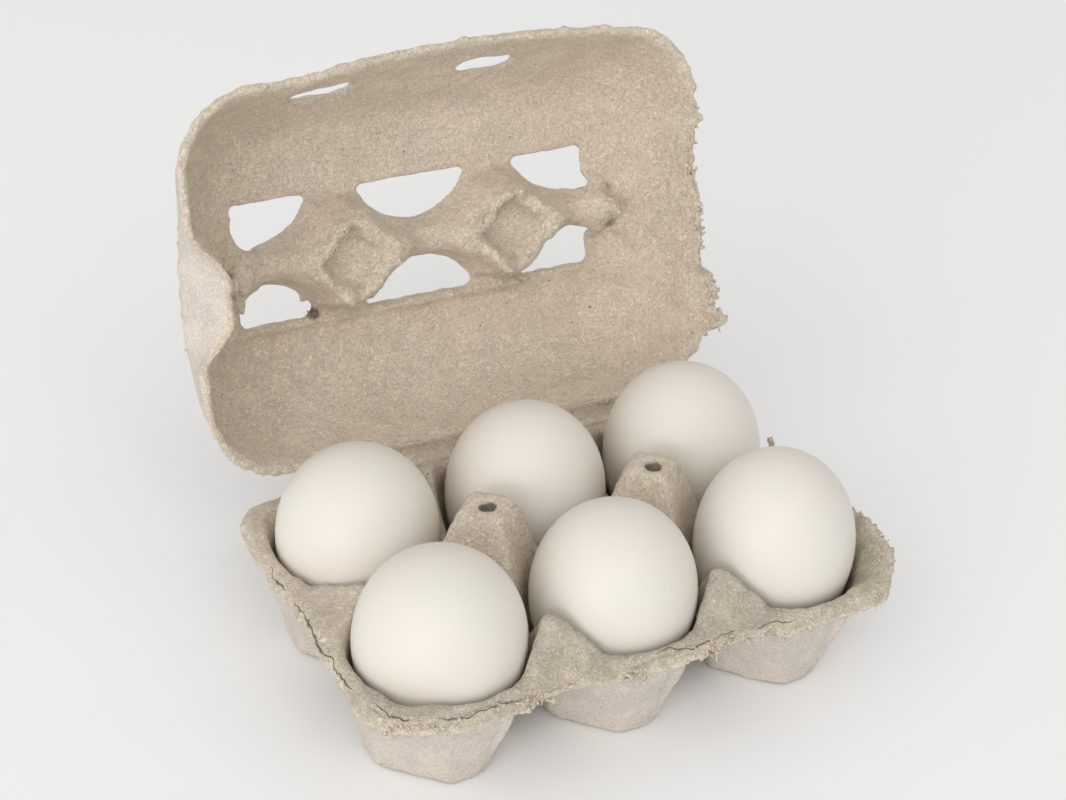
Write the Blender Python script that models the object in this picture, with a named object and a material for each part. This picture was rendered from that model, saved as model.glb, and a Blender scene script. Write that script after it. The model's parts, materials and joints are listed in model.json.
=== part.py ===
"""Half-dozen egg carton of moulded pulp, standing open, with its six eggs.

Metres, +Z up, long side along X, hinge at the back (+Y). The origin is on the
floor under the middle of the open carton. The tray and the lid are thin shells: each
has an upper and a lower surface drawn as contour lines, triangulated in plan
and joined along its rim and round its windows.
"""

import math

import bmesh
import bpy
from mathutils import Matrix, Vector
from mathutils.geometry import delaunay_2d_cdt

# Egg cells: three along X, two along Y
PITCH = 0.048
CELL_XS = (-PITCH, 0.0, PITCH)
CELL_YS = (-PITCH / 2, PITCH / 2)
PULP = 0.0021

# Tray; its middle stands this far from the origin
TRAY_Y = -0.0281
TRAY_HALF = (0.075, 0.0505)
TRAY_CORNER = 0.014
RIM_EDGE_Z = 0.029
RIM_CREST_Z = 0.0305
RIM_WIDTH = 0.0035
CUP_FLOOR_Z = 0.002
SADDLE_Z = 0.024
POST_TOP_Z = 0.0493
POST_TOP_REACH = 0.0045
POST_FOOT_REACH = 0.0215
FRONT_FIN = {"saddle": 0.024, "apex": 0.035, "apex_z": 0.0390, "foot": 0.047}
END_FIN = {"saddle": 0.048, "apex": 0.0580, "apex_z": 0.0335, "foot": 0.070}
RIDGE_HALF_WIDTH = 0.0013

# Cup wall: height, reach to the flat sides, reach to the cut corners
CUP_WALL = (
    (0.002, 0.0155, 0.0134),
    (0.020, 0.0210, 0.0206),
    (0.030, 0.0228, 0.0226),
    (0.050, 0.0265, 0.0284),
)
ROUNDING_FROM_Z = 0.008
ROUNDING_TO_Z = 0.028
ROUNDING = 0.7
OCTANT_DEGREES = (0.0, 13.0, 25.0, 36.0)

# Lid, in its own directions: x along the hinge, v out from it, w up when shut
HINGE_Y = 0.0524
HINGE_Z = 0.0310
OPENING_DEGREES = 106.0
LID_MIDDLE_V = 0.0552
LID_HALF = (0.076, 0.0534)
LID_CORNER = 0.023
LID_LIP = 0.0013
LID_LAND = 0.0023
PANEL_W = 0.0296
BULGE_W = 0.0125
BULGE_HALF = (0.0705, 0.0485)
BULGE_CORNER = 0.0200
SHOULDER_W = 0.0235
SHOULDER_HALF = (0.0625, 0.0410)
SHOULDER_CORNER = 0.016
PANEL_HALF = (0.0550, 0.0335)
PANEL_CORNER = 0.011
SPINE_V = 0.0524
WINDOW_RADIUS = 0.0185
WINDOW_REACH_V = 0.0170
WINDOW_REACH_X = 0.0535
SOCKET_FLOOR_W = 0.0197
SOCKET_LIP_W = 0.0137
SOCKET_FLOOR_REACH = 0.0084
SOCKET_LIP_IN = 0.0115
SOCKET_LIP_OUT = 0.0130
WAIST_W = 0.0225
SPINE_END_W = 0.0215
NOTCH_V = 0.048
NOTCH_HALF = 0.020
NOTCH_DEPTH = {"left": 0.0085, "right": 0.003}
NOTCH_FADE_W = 0.014
LATCH_SLOTS_X = (-0.031, 0.017)
LATCH_SLOT = (0.0155, 0.012, 0.0036)
LATCH_SLOT_V = 0.1022
LATCH_SLOT_W = 0.0095
LATCH_SLOT_TILT_DEGREES = 28.0

# Eggs: blunt end up
EGG_FULLNESS = 0.08
EGG_SEGMENTS = 18
EGG_RINGS = 10

# name, column, row, radius, half length, height of middle, lean about X and Y
EGGS = (
    ("egg_front_left", 0, 0, 0.0216, 0.0265, 0.0290, (0.0, 0.0), (0.0, 0.0)),
    ("egg_front_middle", 1, 0, 0.0213, 0.0269, 0.0294, (0.0004, 0.0), (2.0, 2.0)),
    ("egg_front_right", 2, 0, 0.0210, 0.0282, 0.0315, (0.0002, 0.0), (-3.0, 3.0)),
    ("egg_back_left", 0, 1, 0.0212, 0.0267, 0.0293, (-0.0004, 0.0), (0.0, -2.0)),
    ("egg_back_middle", 1, 1, 0.0214, 0.0272, 0.0298, (0.0003, 0.0), (0.0, 0.0)),
    ("egg_back_right", 2, 1, 0.0215, 0.0275, 0.0306, (0.0006, 0.0), (0.0, 3.0)),
)


def smooth_step(low, high, value):
    """0 below low, 1 above high, an S curve between."""
    t = min(1.0, max(0.0, (value - low) / (high - low)))
    return t * t * (3.0 - 2.0 * t)


def blend(a, b, share):
    return a + (b - a) * share


def rounded_rectangle(middle, half, corner, steps=4):
    """Points of a rounded rectangle in plan, anticlockwise."""
    points = []
    for quarter in range(4):
        turn = math.pi / 2 * quarter
        sx = 1 if quarter in (0, 3) else -1
        sy = 1 if quarter in (0, 1) else -1
        cx = middle[0] + sx * (half[0] - corner)
        cy = middle[1] + sy * (half[1] - corner)
        for step in range(steps + 1):
            a = turn + math.pi / 2 * step / steps
            points.append((cx + corner * math.cos(a), cy + corner * math.sin(a)))
    return points


def inside_depth(x, y, middle, half, corner):
    """How far a point lies inside a rounded rectangle's edge."""
    qx = abs(x - middle[0]) - (half[0] - corner)
    qy = abs(y - middle[1]) - (half[1] - corner)
    outside = math.hypot(max(qx, 0.0), max(qy, 0.0))
    return corner - outside - min(max(qx, qy), 0.0)


# --- Cup and tray surfaces -------------------------------------------------


def wall_reach(z):
    """Reach of a cup's inner wall to its flats and to its cut corners."""
    rows = CUP_WALL
    for low, high in zip(rows, rows[1:]):
        if z <= high[0] or high is rows[-1]:
            share = (z - low[0]) / (high[0] - low[0])
            return blend(low[1], high[1], share), blend(low[2], high[2], share)


def cup_radius(angle, z):
    """Inner radius of a cup: an octagon at the floor, nearly round above."""
    flat, diagonal = wall_reach(z)
    folded = abs((angle + math.pi / 4) % (math.pi / 2) - math.pi / 4)
    octagon = min(flat / math.cos(folded), diagonal / math.cos(math.pi / 4 - folded))
    share = ROUNDING * smooth_step(ROUNDING_FROM_Z, ROUNDING_TO_Z, z)
    return blend(octagon, (flat + diagonal) / 2, share)


def fin_height(t, fin):
    """Height along a divider's outer fin: saddle, apex, then the sloping facet."""
    if t <= fin["apex"]:
        rise = smooth_step(fin["saddle"], fin["apex"], t)
        return blend(SADDLE_Z, fin["apex_z"], rise)
    if t <= fin["foot"]:
        share = (t - fin["apex"]) / (fin["foot"] - fin["apex"])
        return blend(fin["apex_z"], RIM_EDGE_Z, share)
    return RIM_EDGE_Z


def tray_height(x, y):
    """Upper surface of the tray between and around its cups."""
    depth = inside_depth(x, y, (0, 0), TRAY_HALF, TRAY_CORNER)
    crest = blend(RIM_EDGE_Z, RIM_CREST_Z, min(1.0, max(0.0, depth / RIM_WIDTH)))
    height = max(SADDLE_Z, crest - max(0.0, depth - 0.006))
    for post_x in (-PITCH / 2, PITCH / 2):
        reach = math.hypot(x - post_x, y)
        fall = smooth_step(POST_TOP_REACH, POST_FOOT_REACH, reach)
        height = max(height, blend(POST_TOP_Z, SADDLE_Z, fall))
        side = smooth_step(0.009, 0.016, abs(x - post_x))
        height = max(height, blend(fin_height(abs(y), FRONT_FIN), SADDLE_Z, side))
    side = smooth_step(0.009, 0.016, abs(y))
    height = max(height, blend(fin_height(abs(x), END_FIN), SADDLE_Z, side))
    return height


def cell_reach(cell, angle):
    """Distance from a cell's middle to its edge in one direction."""
    cx, cy = cell
    far = 0.040
    inside, outside = 0.0, far
    for _ in range(40):
        r = (inside + outside) / 2
        x, y = cx + r * math.cos(angle), cy + r * math.sin(angle)
        crossed = inside_depth(x, y, (0, 0), TRAY_HALF, TRAY_CORNER) < 0
        crossed = crossed or y * cy < 0
        crossed = crossed or (abs(cx) < PITCH / 2 < abs(x))
        crossed = crossed or (abs(cx) > PITCH / 2 and x * cx < PITCH / 2 * abs(cx))
        if crossed:
            outside = r
        else:
            inside = r
    return inside


def crest_of(cell, angle):
    """Where a cup's wall meets the surface between the cups."""
    limit = cell_reach(cell, angle) - RIDGE_HALF_WIDTH
    low, high = CUP_FLOOR_Z, POST_TOP_Z + 0.001
    for _ in range(40):
        z = (low + high) / 2
        r = min(cup_radius(angle, z), limit)
        top = tray_height(cell[0] + r * math.cos(angle), cell[1] + r * math.sin(angle))
        if z < top:
            low = z
        else:
            high = z
    return min(cup_radius(angle, low), limit), low


def cup_angles():
    return [math.radians(90 * quarter + side) for quarter in range(4)
            for side in OCTANT_DEGREES + tuple(90 - d for d in (45, 36, 25, 13))]


def cup_rings(cell, upper):
    """Contour rings of one cup, from its floor to its crest."""
    rings = [[] for _ in range(6 if upper else 5)]
    for angle in sorted(cup_angles()):
        edge = cell_reach(cell, angle)
        crest_r, crest_z = crest_of(cell, angle)
        if upper:
            top_z = crest_z - 0.0012
            mid_z = min(0.026, top_z - 0.002)
            spots = [
                (cup_radius(angle, CUP_FLOOR_Z) - 0.0012, CUP_FLOOR_Z),
                (cup_radius(angle, CUP_FLOOR_Z + 0.002), CUP_FLOOR_Z + 0.002),
                (cup_radius(angle, 0.014), 0.014),
                (cup_radius(angle, mid_z), mid_z),
                (min(cup_radius(angle, top_z), crest_r - 0.0002), top_z),
                (min(crest_r + 0.0009, edge - 0.0002), None),
            ]
        else:
            top_z = crest_z - 0.0034
            mid_z = min(0.024, top_z - 0.002)
            spots = [
                (cup_radius(angle, CUP_FLOOR_Z) + PULP - 0.0006, 0.0),
                (cup_radius(angle, CUP_FLOOR_Z) + PULP - 0.0001, 0.0016),
                (min(cup_radius(angle, 0.014) + PULP, edge - 0.0014), 0.014),
                (min(cup_radius(angle, mid_z) + PULP, edge - 0.0010), mid_z),
                (min(cup_radius(angle, top_z) + PULP, edge - 0.0006), top_z),
            ]
        for ring, (r, z) in zip(rings, spots):
            x = cell[0] + r * math.cos(angle)
            y = cell[1] + r * math.sin(angle)
            ring.append((x, y, tray_height(x, y) if z is None else z))
    return rings


def tray_outline():
    return rounded_rectangle((0, 0), TRAY_HALF, TRAY_CORNER)


def divider_lines():
    """Plan lines of the ridges between the cells."""
    half_x, half_y = TRAY_HALF
    along_y = (0.0, 0.005, 0.009, 0.014, 0.018, 0.024, 0.029, 0.035, 0.041, 0.047)
    lines = []
    for x in (-PITCH / 2, PITCH / 2):
        for side in (-1, 1):
            lines.append([(x, side * y) for y in along_y] + [(x, side * half_y)])
    from_post = (0.0, 0.005, 0.009, 0.014, 0.018, 0.024)
    for post in (-1, 1):
        lines.append([(post * (PITCH / 2 - s), 0.0) for s in from_post])
        outer = (0.005, 0.009, 0.014, 0.018, 0.024, 0.029, 0.0345, 0.041, 0.047)
        spots = [(post * (PITCH / 2 + s), 0.0) for s in (0.0,) + outer]
        lines.append(spots + [(post * half_x, 0.0)])
    return lines


def tray_contours(upper):
    """Closed rings, open lines and loose points of one of the tray's surfaces."""
    drop = 0.0 if upper else -PULP

    def lift(points):
        return [(x, y, tray_height(x, y) + drop) for x, y in points]

    rings = [ring for cx in CELL_XS for cy in CELL_YS for ring in cup_rings((cx, cy), upper)]
    return rings, [lift(line) for line in divider_lines()], []


# --- Lid surfaces ----------------------------------------------------------


def window_outline(column, row):
    """One lid window: a circle round the egg, cut straight on its outer side."""
    egg_x = CELL_XS[column]
    side = CELL_YS[row] / abs(CELL_YS[row])
    egg_v = SPINE_V - side * PITCH / 2
    cut_v = SPINE_V - side * WINDOW_REACH_V
    half = math.sqrt(WINDOW_RADIUS ** 2 - (egg_v - cut_v) ** 2)
    start = math.atan2(cut_v - egg_v, half)
    steps = 10
    points = []
    for step in range(steps + 1):
        swing = blend(start, math.copysign(math.pi, start) - start, step / steps)
        x = egg_x + WINDOW_RADIUS * math.cos(swing)
        points.append((x, egg_v + WINDOW_RADIUS * math.sin(swing)))
    if abs(egg_x) > 0:
        outer = math.copysign(WINDOW_REACH_X, egg_x)
        reach = WINDOW_REACH_X - abs(egg_x)
        drop = math.sqrt(WINDOW_RADIUS ** 2 - reach ** 2)
        kept = [p for p in points if abs(p[0]) < WINDOW_REACH_X - 0.0005]
        ends = [(outer, egg_v + side * drop), (outer, cut_v)]
        points = kept + ends if egg_x < 0 else ends[::-1] + kept
    return points


def window_names():
    return [(column, row) for column in range(3) for row in range(2)]


def diamond(x, reach, w):
    """A square standing on its corner round a spine peak."""
    points = []
    for step in range(8):
        turn = math.pi / 4 * step
        r = reach if step % 2 == 0 else reach / math.sqrt(2)
        points.append((x + r * math.cos(turn), SPINE_V + r * math.sin(turn), w))
    return points


def lid_contours(upper):
    """Rings, lines and points of the lid's inner or outer surface."""
    grow = PULP if upper else 0.0
    middle = (0.0, LID_MIDDLE_V)
    rings = []
    if not upper:
        land = (LID_HALF[0] - LID_LAND, LID_HALF[1] - LID_LAND)
        flat = rounded_rectangle(middle, land, LID_CORNER - LID_LAND)
        rings.append([(x, v, 0.0) for x, v in flat])
    wide = 0.0015 if upper else 0.0
    for half, corner, w in ((BULGE_HALF, BULGE_CORNER, BULGE_W),
                            (SHOULDER_HALF, SHOULDER_CORNER, SHOULDER_W)):
        loop = rounded_rectangle(middle, (half[0] + wide, half[1] + wide), corner)
        rings.append([(x, v, w + grow * 0.8) for x, v in loop])
    loop = rounded_rectangle(middle, PANEL_HALF, PANEL_CORNER)
    rings.append([(x, v, PANEL_W + grow - 0.0006) for x, v in loop])
    peaks = (-PITCH / 2, PITCH / 2)
    for x in peaks:
        if upper:
            rings.append(diamond(x, SOCKET_FLOOR_REACH + 0.0013, SOCKET_FLOOR_W + PULP))
            rings.append(diamond(x, SOCKET_LIP_IN + 0.0010, SOCKET_LIP_W + PULP + 0.0003))
        else:
            rings.append(diamond(x, SOCKET_FLOOR_REACH, SOCKET_FLOOR_W))
            rings.append(diamond(x, SOCKET_LIP_IN, SOCKET_LIP_W))
            rings.append(diamond(x, SOCKET_LIP_OUT, SOCKET_LIP_W))
    points = [(x, SPINE_V, w + grow) for x, w in (
        (0.0, WAIST_W), (-0.006, WAIST_W - 0.0007), (0.006, WAIST_W - 0.0007),
        (-0.042, 0.0195), (0.042, 0.0195), (-0.048, SPINE_END_W), (0.048, SPINE_END_W),
        (-0.0535, 0.0232), (0.0535, 0.0232))]
    points += [(x, SPINE_V + side * WINDOW_REACH_V, PANEL_W + grow)
               for x in peaks for side in (-1, 1)]
    return rings, [], points


def notch_shift(x, v, w):
    """Inward push of the middle of each end wall, most at its rim."""
    side = "left" if x < 0 else "right"
    across = (v - NOTCH_V) / NOTCH_HALF
    if abs(across) >= 1:
        return 0.0
    fade = 1 - smooth_step(0.0, NOTCH_FADE_W, w)
    near_end = smooth_step(0.050, 0.064, abs(x))
    depth = NOTCH_DEPTH[side] * math.cos(math.pi / 2 * across) ** 2
    return -math.copysign(depth * fade * near_end, x)


# --- Shells from contours --------------------------------------------------


def in_polygon(x, y, polygon):
    inside = False
    for (x1, y1), (x2, y2) in zip(polygon, polygon[1:] + polygon[:1]):
        if (y1 > y) != (y2 > y) and x < (x2 - x1) * (y - y1) / (y2 - y1) + x1:
            inside = not inside
    return inside


def triangulate(outline, holes, contours):
    """Triangles in plan through every contour, with each point's own height.

    outline and holes are lists of (x, y, z). Returns points and triangles, the
    outline's points first and then each hole's, in order.
    """
    rings, lines, loose = contours
    points, edges = [], []
    place = {}

    def add(point):
        key = (round(point[0], 7), round(point[1], 7))
        if key not in place:
            place[key] = len(points)
            points.append(point)
        return place[key]

    for ring in [outline] + holes + rings:
        marks = [add(p) for p in ring]
        edges += [(a, b) for a, b in zip(marks, marks[1:] + marks[:1]) if a != b]
    for line in lines:
        marks = [add(p) for p in line]
        edges += [(a, b) for a, b in zip(marks, marks[1:]) if a != b]
    for point in loose:
        add(point)
    flat = [Vector(p[:2]) * 1000 for p in points]
    found, _, faces, sources, _, _ = delaunay_2d_cdt(flat, edges, [], 0, 1e-4)
    if len(found) != len(points):
        raise ValueError(f"contours cross: {len(found)} points from {len(points)}")
    back = [source[0] for source in sources]
    plan = [p[:2] for p in outline]
    gaps = [[p[:2] for p in hole] for hole in holes]
    triangles = []
    for face in faces:
        marks = [back[i] for i in face]
        cx = sum(points[i][0] for i in marks) / 3
        cy = sum(points[i][1] for i in marks) / 3
        if in_polygon(cx, cy, plan) and not any(in_polygon(cx, cy, gap) for gap in gaps):
            triangles.append(marks)
    return points, triangles


def shell(upper, lower, loops):
    """Close an upper and a lower surface along their shared loops.

    loops holds each shared loop's length, outline first: both surfaces list
    those points first, in the same order.
    """
    top_points, top_faces = upper
    low_points, low_faces = lower
    mesh = bmesh.new()
    tops = [mesh.verts.new(p) for p in top_points]
    lows = [mesh.verts.new(p) for p in low_points]
    for face in top_faces:
        mesh.faces.new([tops[i] for i in face])
    for face in low_faces:
        mesh.faces.new([lows[i] for i in reversed(face)])
    start = 0
    for length in loops:
        for step in range(length):
            a, b = start + step, start + (step + 1) % length
            mesh.faces.new((tops[a], lows[a], lows[b]))
            mesh.faces.new((tops[a], lows[b], tops[b]))
        start += length
    bmesh.ops.recalc_face_normals(mesh, faces=mesh.faces)
    return mesh


# --- Objects ---------------------------------------------------------------


def material(name, colour, roughness):
    made = bpy.data.materials.new(name)
    made.use_nodes = True
    shader = made.node_tree.nodes["Principled BSDF"]
    shader.inputs["Base Color"].default_value = (*colour, 1.0)
    shader.inputs["Roughness"].default_value = roughness
    shader.inputs["Metallic"].default_value = 0.0
    return made


def add_object(name, mesh, finish, sharp_degrees=35.0):
    data = bpy.data.meshes.new(name)
    mesh.to_mesh(data)
    mesh.free()
    data.shade_smooth()
    data.set_sharp_from_angle(angle=math.radians(sharp_degrees))
    data.materials.append(finish)
    made = bpy.data.objects.new(name, data)
    bpy.context.collection.objects.link(made)
    return made


def make_tray(finish):
    edge = tray_outline()
    extra = []
    for (x1, y1), (x2, y2) in zip(edge, edge[1:] + edge[:1]):
        extra.append((x1, y1))
        if y1 == y2 and abs(y1) > 0.05:
            stops = (-0.048, -0.024, 0.0, 0.024, 0.048)
            extra += [(x, y1) for x in (stops if x2 > x1 else stops[::-1])]
        elif x1 == x2 and abs(x1) > 0.07:
            stops = (-0.018, 0.0, 0.018)
            extra += [(x1, y) for y in (stops if y2 > y1 else stops[::-1])]
    top = [(x, y, RIM_EDGE_Z) for x, y in extra]
    low = [(x, y, RIM_EDGE_Z - PULP) for x, y in extra]
    upper = triangulate(top, [], tray_contours(True))
    lower = triangulate(low, [], tray_contours(False))
    made = add_object("tray", shell(upper, lower, [len(extra)]), finish)
    made.location.y = TRAY_Y
    return made


def lid_placement():
    """Turn the lid's own directions (x, v, w) into the opened lid in the world."""
    shut = Matrix(((1, 0, 0, 0), (0, -1, 0, 0), (0, 0, 1, 0), (0, 0, 0, 1)))
    opened = Matrix.Rotation(-math.radians(OPENING_DEGREES), 4, "X")
    return opened @ shut


def make_lid(finish, hinge):
    edge = rounded_rectangle((0.0, LID_MIDDLE_V), LID_HALF, LID_CORNER)
    holes = [window_outline(column, row) for column, row in window_names()]
    surfaces = []
    for is_upper in (True, False):
        rim_w = LID_LIP if is_upper else 0.0
        hole_w = PANEL_W + (PULP if is_upper else 0.0)
        outline = [(x, v, rim_w) for x, v in edge]
        gaps = [[(x, v, hole_w) for x, v in hole] for hole in holes]
        surfaces.append(triangulate(outline, gaps, lid_contours(is_upper)))
    mesh = shell(*surfaces, [len(edge)] + [len(hole) for hole in holes])
    for vert in mesh.verts:
        x, v, w = vert.co
        vert.co.x = x + notch_shift(x, v, w)
    bmesh.ops.transform(mesh, matrix=lid_placement(), verts=mesh.verts)
    bmesh.ops.recalc_face_normals(mesh, faces=mesh.faces)
    made = add_object("lid", mesh, finish)
    made.parent = hinge
    return made


def cut_latch_slots(lid, hinge):
    """Two slots through the lid's front wall, for the latch."""
    for number, x in enumerate(LATCH_SLOTS_X):
        mesh = bmesh.new()
        bmesh.ops.create_cube(mesh, size=1.0)
        tilt = Matrix.Rotation(math.radians(LATCH_SLOT_TILT_DEGREES), 4, "X")
        size = Matrix.Diagonal((*LATCH_SLOT, 1.0))
        place = Matrix.Translation((x, LATCH_SLOT_V, LATCH_SLOT_W))
        bmesh.ops.transform(mesh, matrix=lid_placement() @ place @ tilt @ size, verts=mesh.verts)
        bmesh.ops.recalc_face_normals(mesh, faces=mesh.faces)
        data = bpy.data.meshes.new(f"latch_slot_cutter_{number}")
        mesh.to_mesh(data)
        mesh.free()
        cutter = bpy.data.objects.new(data.name, data)
        bpy.context.collection.objects.link(cutter)
        cutter.parent = hinge
        cutter.hide_render = True
        cutter.display_type = "WIRE"
        cut = lid.modifiers.new(f"Slot {number}", "BOOLEAN")
        cut.operation = "DIFFERENCE"
        cut.solver = "EXACT"
        cut.object = cutter


def make_egg(name, column, row, radius, half_length, height, shift, lean, finish):
    mesh = bmesh.new()
    bmesh.ops.create_uvsphere(mesh, u_segments=EGG_SEGMENTS, v_segments=EGG_RINGS, radius=1.0)
    for vert in mesh.verts:
        fullness = radius * (1 + EGG_FULLNESS * vert.co.z)
        vert.co = Vector((vert.co.x * fullness, vert.co.y * fullness, vert.co.z * half_length))
    egg = add_object(name, mesh, finish, 180.0)
    egg.location = (CELL_XS[column] + shift[0], TRAY_Y + CELL_YS[row] + shift[1], height)
    egg.rotation_euler = (math.radians(lean[0]), math.radians(lean[1]), 0.0)
    return egg


def main():
    for old in list(bpy.data.objects):
        bpy.data.objects.remove(old)
    tray_pulp = material("tray pulp", (0.53, 0.45, 0.36), 0.95)
    lid_pulp = material("lid pulp", (0.53, 0.45, 0.36), 0.95)
    make_tray(tray_pulp)
    hinge = bpy.data.objects.new("lid_hinge", None)
    hinge.location = (0.0, TRAY_Y + HINGE_Y, HINGE_Z)
    bpy.context.collection.objects.link(hinge)
    lid = make_lid(lid_pulp, hinge)
    cut_latch_slots(lid, hinge)
    for name, *numbers in EGGS:
        shell_finish = material(f"{name} shell", (0.84, 0.80, 0.72), 0.55)
        make_egg(name, *numbers, shell_finish)


main()
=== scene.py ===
"""Looks of a half-dozen egg carton: moulded-pulp tray and lid, fold, eggs and stage.

Lengths inside the shape functions are millimetres, in the tray's or the lid's own
directions; meshes are turned into the frame's metres when they are made. The tray's
directions are the frame's, from its middle on the floor. The lid's are x along the
hinge, v from the hinge towards the front, and w up when the lid is shut.
"""

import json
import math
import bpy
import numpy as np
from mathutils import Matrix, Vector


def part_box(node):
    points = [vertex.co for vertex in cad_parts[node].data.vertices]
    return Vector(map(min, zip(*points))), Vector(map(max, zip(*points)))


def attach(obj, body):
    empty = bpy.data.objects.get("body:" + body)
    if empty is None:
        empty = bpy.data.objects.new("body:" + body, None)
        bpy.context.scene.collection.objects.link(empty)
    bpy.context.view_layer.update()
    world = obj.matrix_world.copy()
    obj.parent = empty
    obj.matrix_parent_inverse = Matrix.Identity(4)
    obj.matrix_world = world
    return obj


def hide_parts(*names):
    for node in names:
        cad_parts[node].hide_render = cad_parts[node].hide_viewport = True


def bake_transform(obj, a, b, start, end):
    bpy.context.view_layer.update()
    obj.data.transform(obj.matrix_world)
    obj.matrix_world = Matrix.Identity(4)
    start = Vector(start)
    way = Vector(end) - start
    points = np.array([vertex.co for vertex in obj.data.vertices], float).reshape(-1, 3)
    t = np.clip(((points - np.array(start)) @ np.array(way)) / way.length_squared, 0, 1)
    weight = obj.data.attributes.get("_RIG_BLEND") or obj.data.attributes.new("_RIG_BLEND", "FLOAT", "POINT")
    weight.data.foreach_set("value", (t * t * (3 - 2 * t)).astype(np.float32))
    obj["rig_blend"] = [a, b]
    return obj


bl_info = {
    "name": "Egg carton with eggs",
    "version": (1, 0, 0),
    "blender": (4, 5, 0),
    "location": "View3D > Sidebar > Egg carton",
    "description": "Builds the moulded-pulp carton, its eggs and a plain studio stage",
    "category": "Add Mesh",
}

import bmesh
import bpy
import numpy as np
from bpy.props import FloatProperty, FloatVectorProperty, IntProperty, PointerProperty
from mathutils import Matrix, Vector
from mathutils.bvhtree import BVHTree
from mathutils.geometry import delaunay_2d_cdt
from mathutils.kdtree import KDTree

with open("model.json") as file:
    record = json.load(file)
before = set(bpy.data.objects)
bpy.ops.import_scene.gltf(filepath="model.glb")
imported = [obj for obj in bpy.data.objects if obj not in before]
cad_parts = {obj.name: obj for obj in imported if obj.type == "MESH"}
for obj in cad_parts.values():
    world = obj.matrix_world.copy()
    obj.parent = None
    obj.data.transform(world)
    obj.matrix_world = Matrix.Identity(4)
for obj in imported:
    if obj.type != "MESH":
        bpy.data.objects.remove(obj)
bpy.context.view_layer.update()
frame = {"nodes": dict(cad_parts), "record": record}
TRAY_LOW, TRAY_HIGH = (np.array(corner) * 1000 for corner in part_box("tray"))
TRAY_MIDDLE = (TRAY_LOW + TRAY_HIGH) / 2
HINGE = frame["record"]["behaviour"]["joints"][0]
HINGE_SPOT = np.array(HINGE["pos_m"]) * 1000
OPENING = math.radians(HINGE["range_deg"][1])
EGG_NODES = sorted(name for name in frame["nodes"] if name.startswith("egg"))

# Cells and walls
PITCH = 48.0
PULP = 2.1
RIM_HALF = (TRAY_HIGH[:2] - TRAY_LOW[:2]) / 2
RIM_CORNER = 14.0
RIM_Z = 29.0
CREST_Z = 30.5
SADDLE_Z = 24.0
POST_Z = TRAY_HIGH[2]
CUP_FLOOR_Z = 2.0
CUP_WALL_Z = (2.0, 20.0, 30.0, 50.0)
CUP_FLAT = (15.5, 21.0, 22.8, 26.5)
CUP_DIAGONAL = (13.4, 20.6, 22.6, 28.4)
FRONT_FIN = {"saddle": 24.0, "apex": 35.0, "apex_z": 39.3, "foot": 47.0}
END_FIN = {"saddle": 48.0, "apex": 58.0, "apex_z": 33.5, "foot": 70.0}

# Lid
LID_BACK_V = 1.8
LID_FRONT_V = 108.4
LID_HALF_X = 76.0
LID_CORNER = 22.0
PANEL_W = 29.6
SPINE_V = 52.4
WINDOW_RADIUS = 18.5
WINDOW_REACH_V = 17.0
WINDOW_REACH_X = 53.5
# Wall profile: height, inset of back and end walls, further inset of front wall, corner
WALL_W = (0.0, 6.0, 12.5, 18.5, 23.4, 26.9, 28.9, 29.6)
WALL_INSET = (2.3, 3.6, 5.5, 8.6, 12.6, 16.5, 20.0, 24.0)
WALL_FRONT = (0.0, 1.4, 2.6, 3.2, 3.0, 2.4, 1.6, 1.0)
WALL_CORNER = (20.0, 20.0, 19.0, 17.5, 15.5, 13.5, 11.5, 9.0)
SOCKET_LIP_W = 13.7
SOCKET_FLOOR_W = 19.7


# --- Numbers -----------------------------------------------------------------


def smooth_step(low, high, value):
    """0 below low, 1 above high, an S curve between."""
    t = np.clip((value - low) / (high - low), 0.0, 1.0)
    return t * t * (3.0 - 2.0 * t)


def bump(value, middle, width):
    """1 at the middle, fading to 0 about two widths away."""
    return np.exp(-(((value - middle) / width) ** 2))


def smooth_min(a, b, radius):
    """The lower of two heights, with a rounded edge where they meet."""
    share = np.clip(0.5 + 0.5 * (b - a) / radius, 0.0, 1.0)
    return b + (a - b) * share - radius * share * (1.0 - share)


def smooth_max(a, b, radius):
    return -smooth_min(-a, -b, radius)


def lattice_noise(points, size, seed=0):
    """Smooth random values from -1 to 1, changing over about this many millimetres."""
    places = np.asarray(points, float) / size
    corner = np.floor(places).astype(np.int64)
    part = places - corner
    part = part * part * (3.0 - 2.0 * part)
    total = np.zeros(len(places))
    for step in np.ndindex(2, 2, 2):
        x, y, z = (corner + step).T
        mixed = (x * 73856093) ^ (y * 19349663) ^ (z * 83492791) ^ (seed * 2654435761)
        mixed = (mixed ^ (mixed >> 13)) * 1274126177 & 0x7FFFFFFF
        mixed = (mixed ^ (mixed >> 16)) & 0xFFFF
        weight = np.prod(np.where(step, part, 1.0 - part), axis=1)
        total += weight * (mixed / 32767.5 - 1.0)
    return total


def rough_noise(points, size, seed=0, octaves=3):
    """Noise with finer noise on top, each half the size of the last."""
    total = 0.0
    for octave in range(octaves):
        total = total + lattice_noise(points, size / 2**octave, seed + octave) / 2**octave
    return total / (2.0 - 0.5 ** (octaves - 1))


def flat_noise(x, y, size, seed=0, octaves=3):
    """The same over a plan, where x and y may be arrays of any one shape."""
    x, y = np.broadcast_arrays(np.asarray(x, float), np.asarray(y, float))
    points = np.stack([x.ravel(), y.ravel(), np.zeros(x.size)], axis=1)
    return rough_noise(points, size, seed, octaves).reshape(x.shape)


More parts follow.
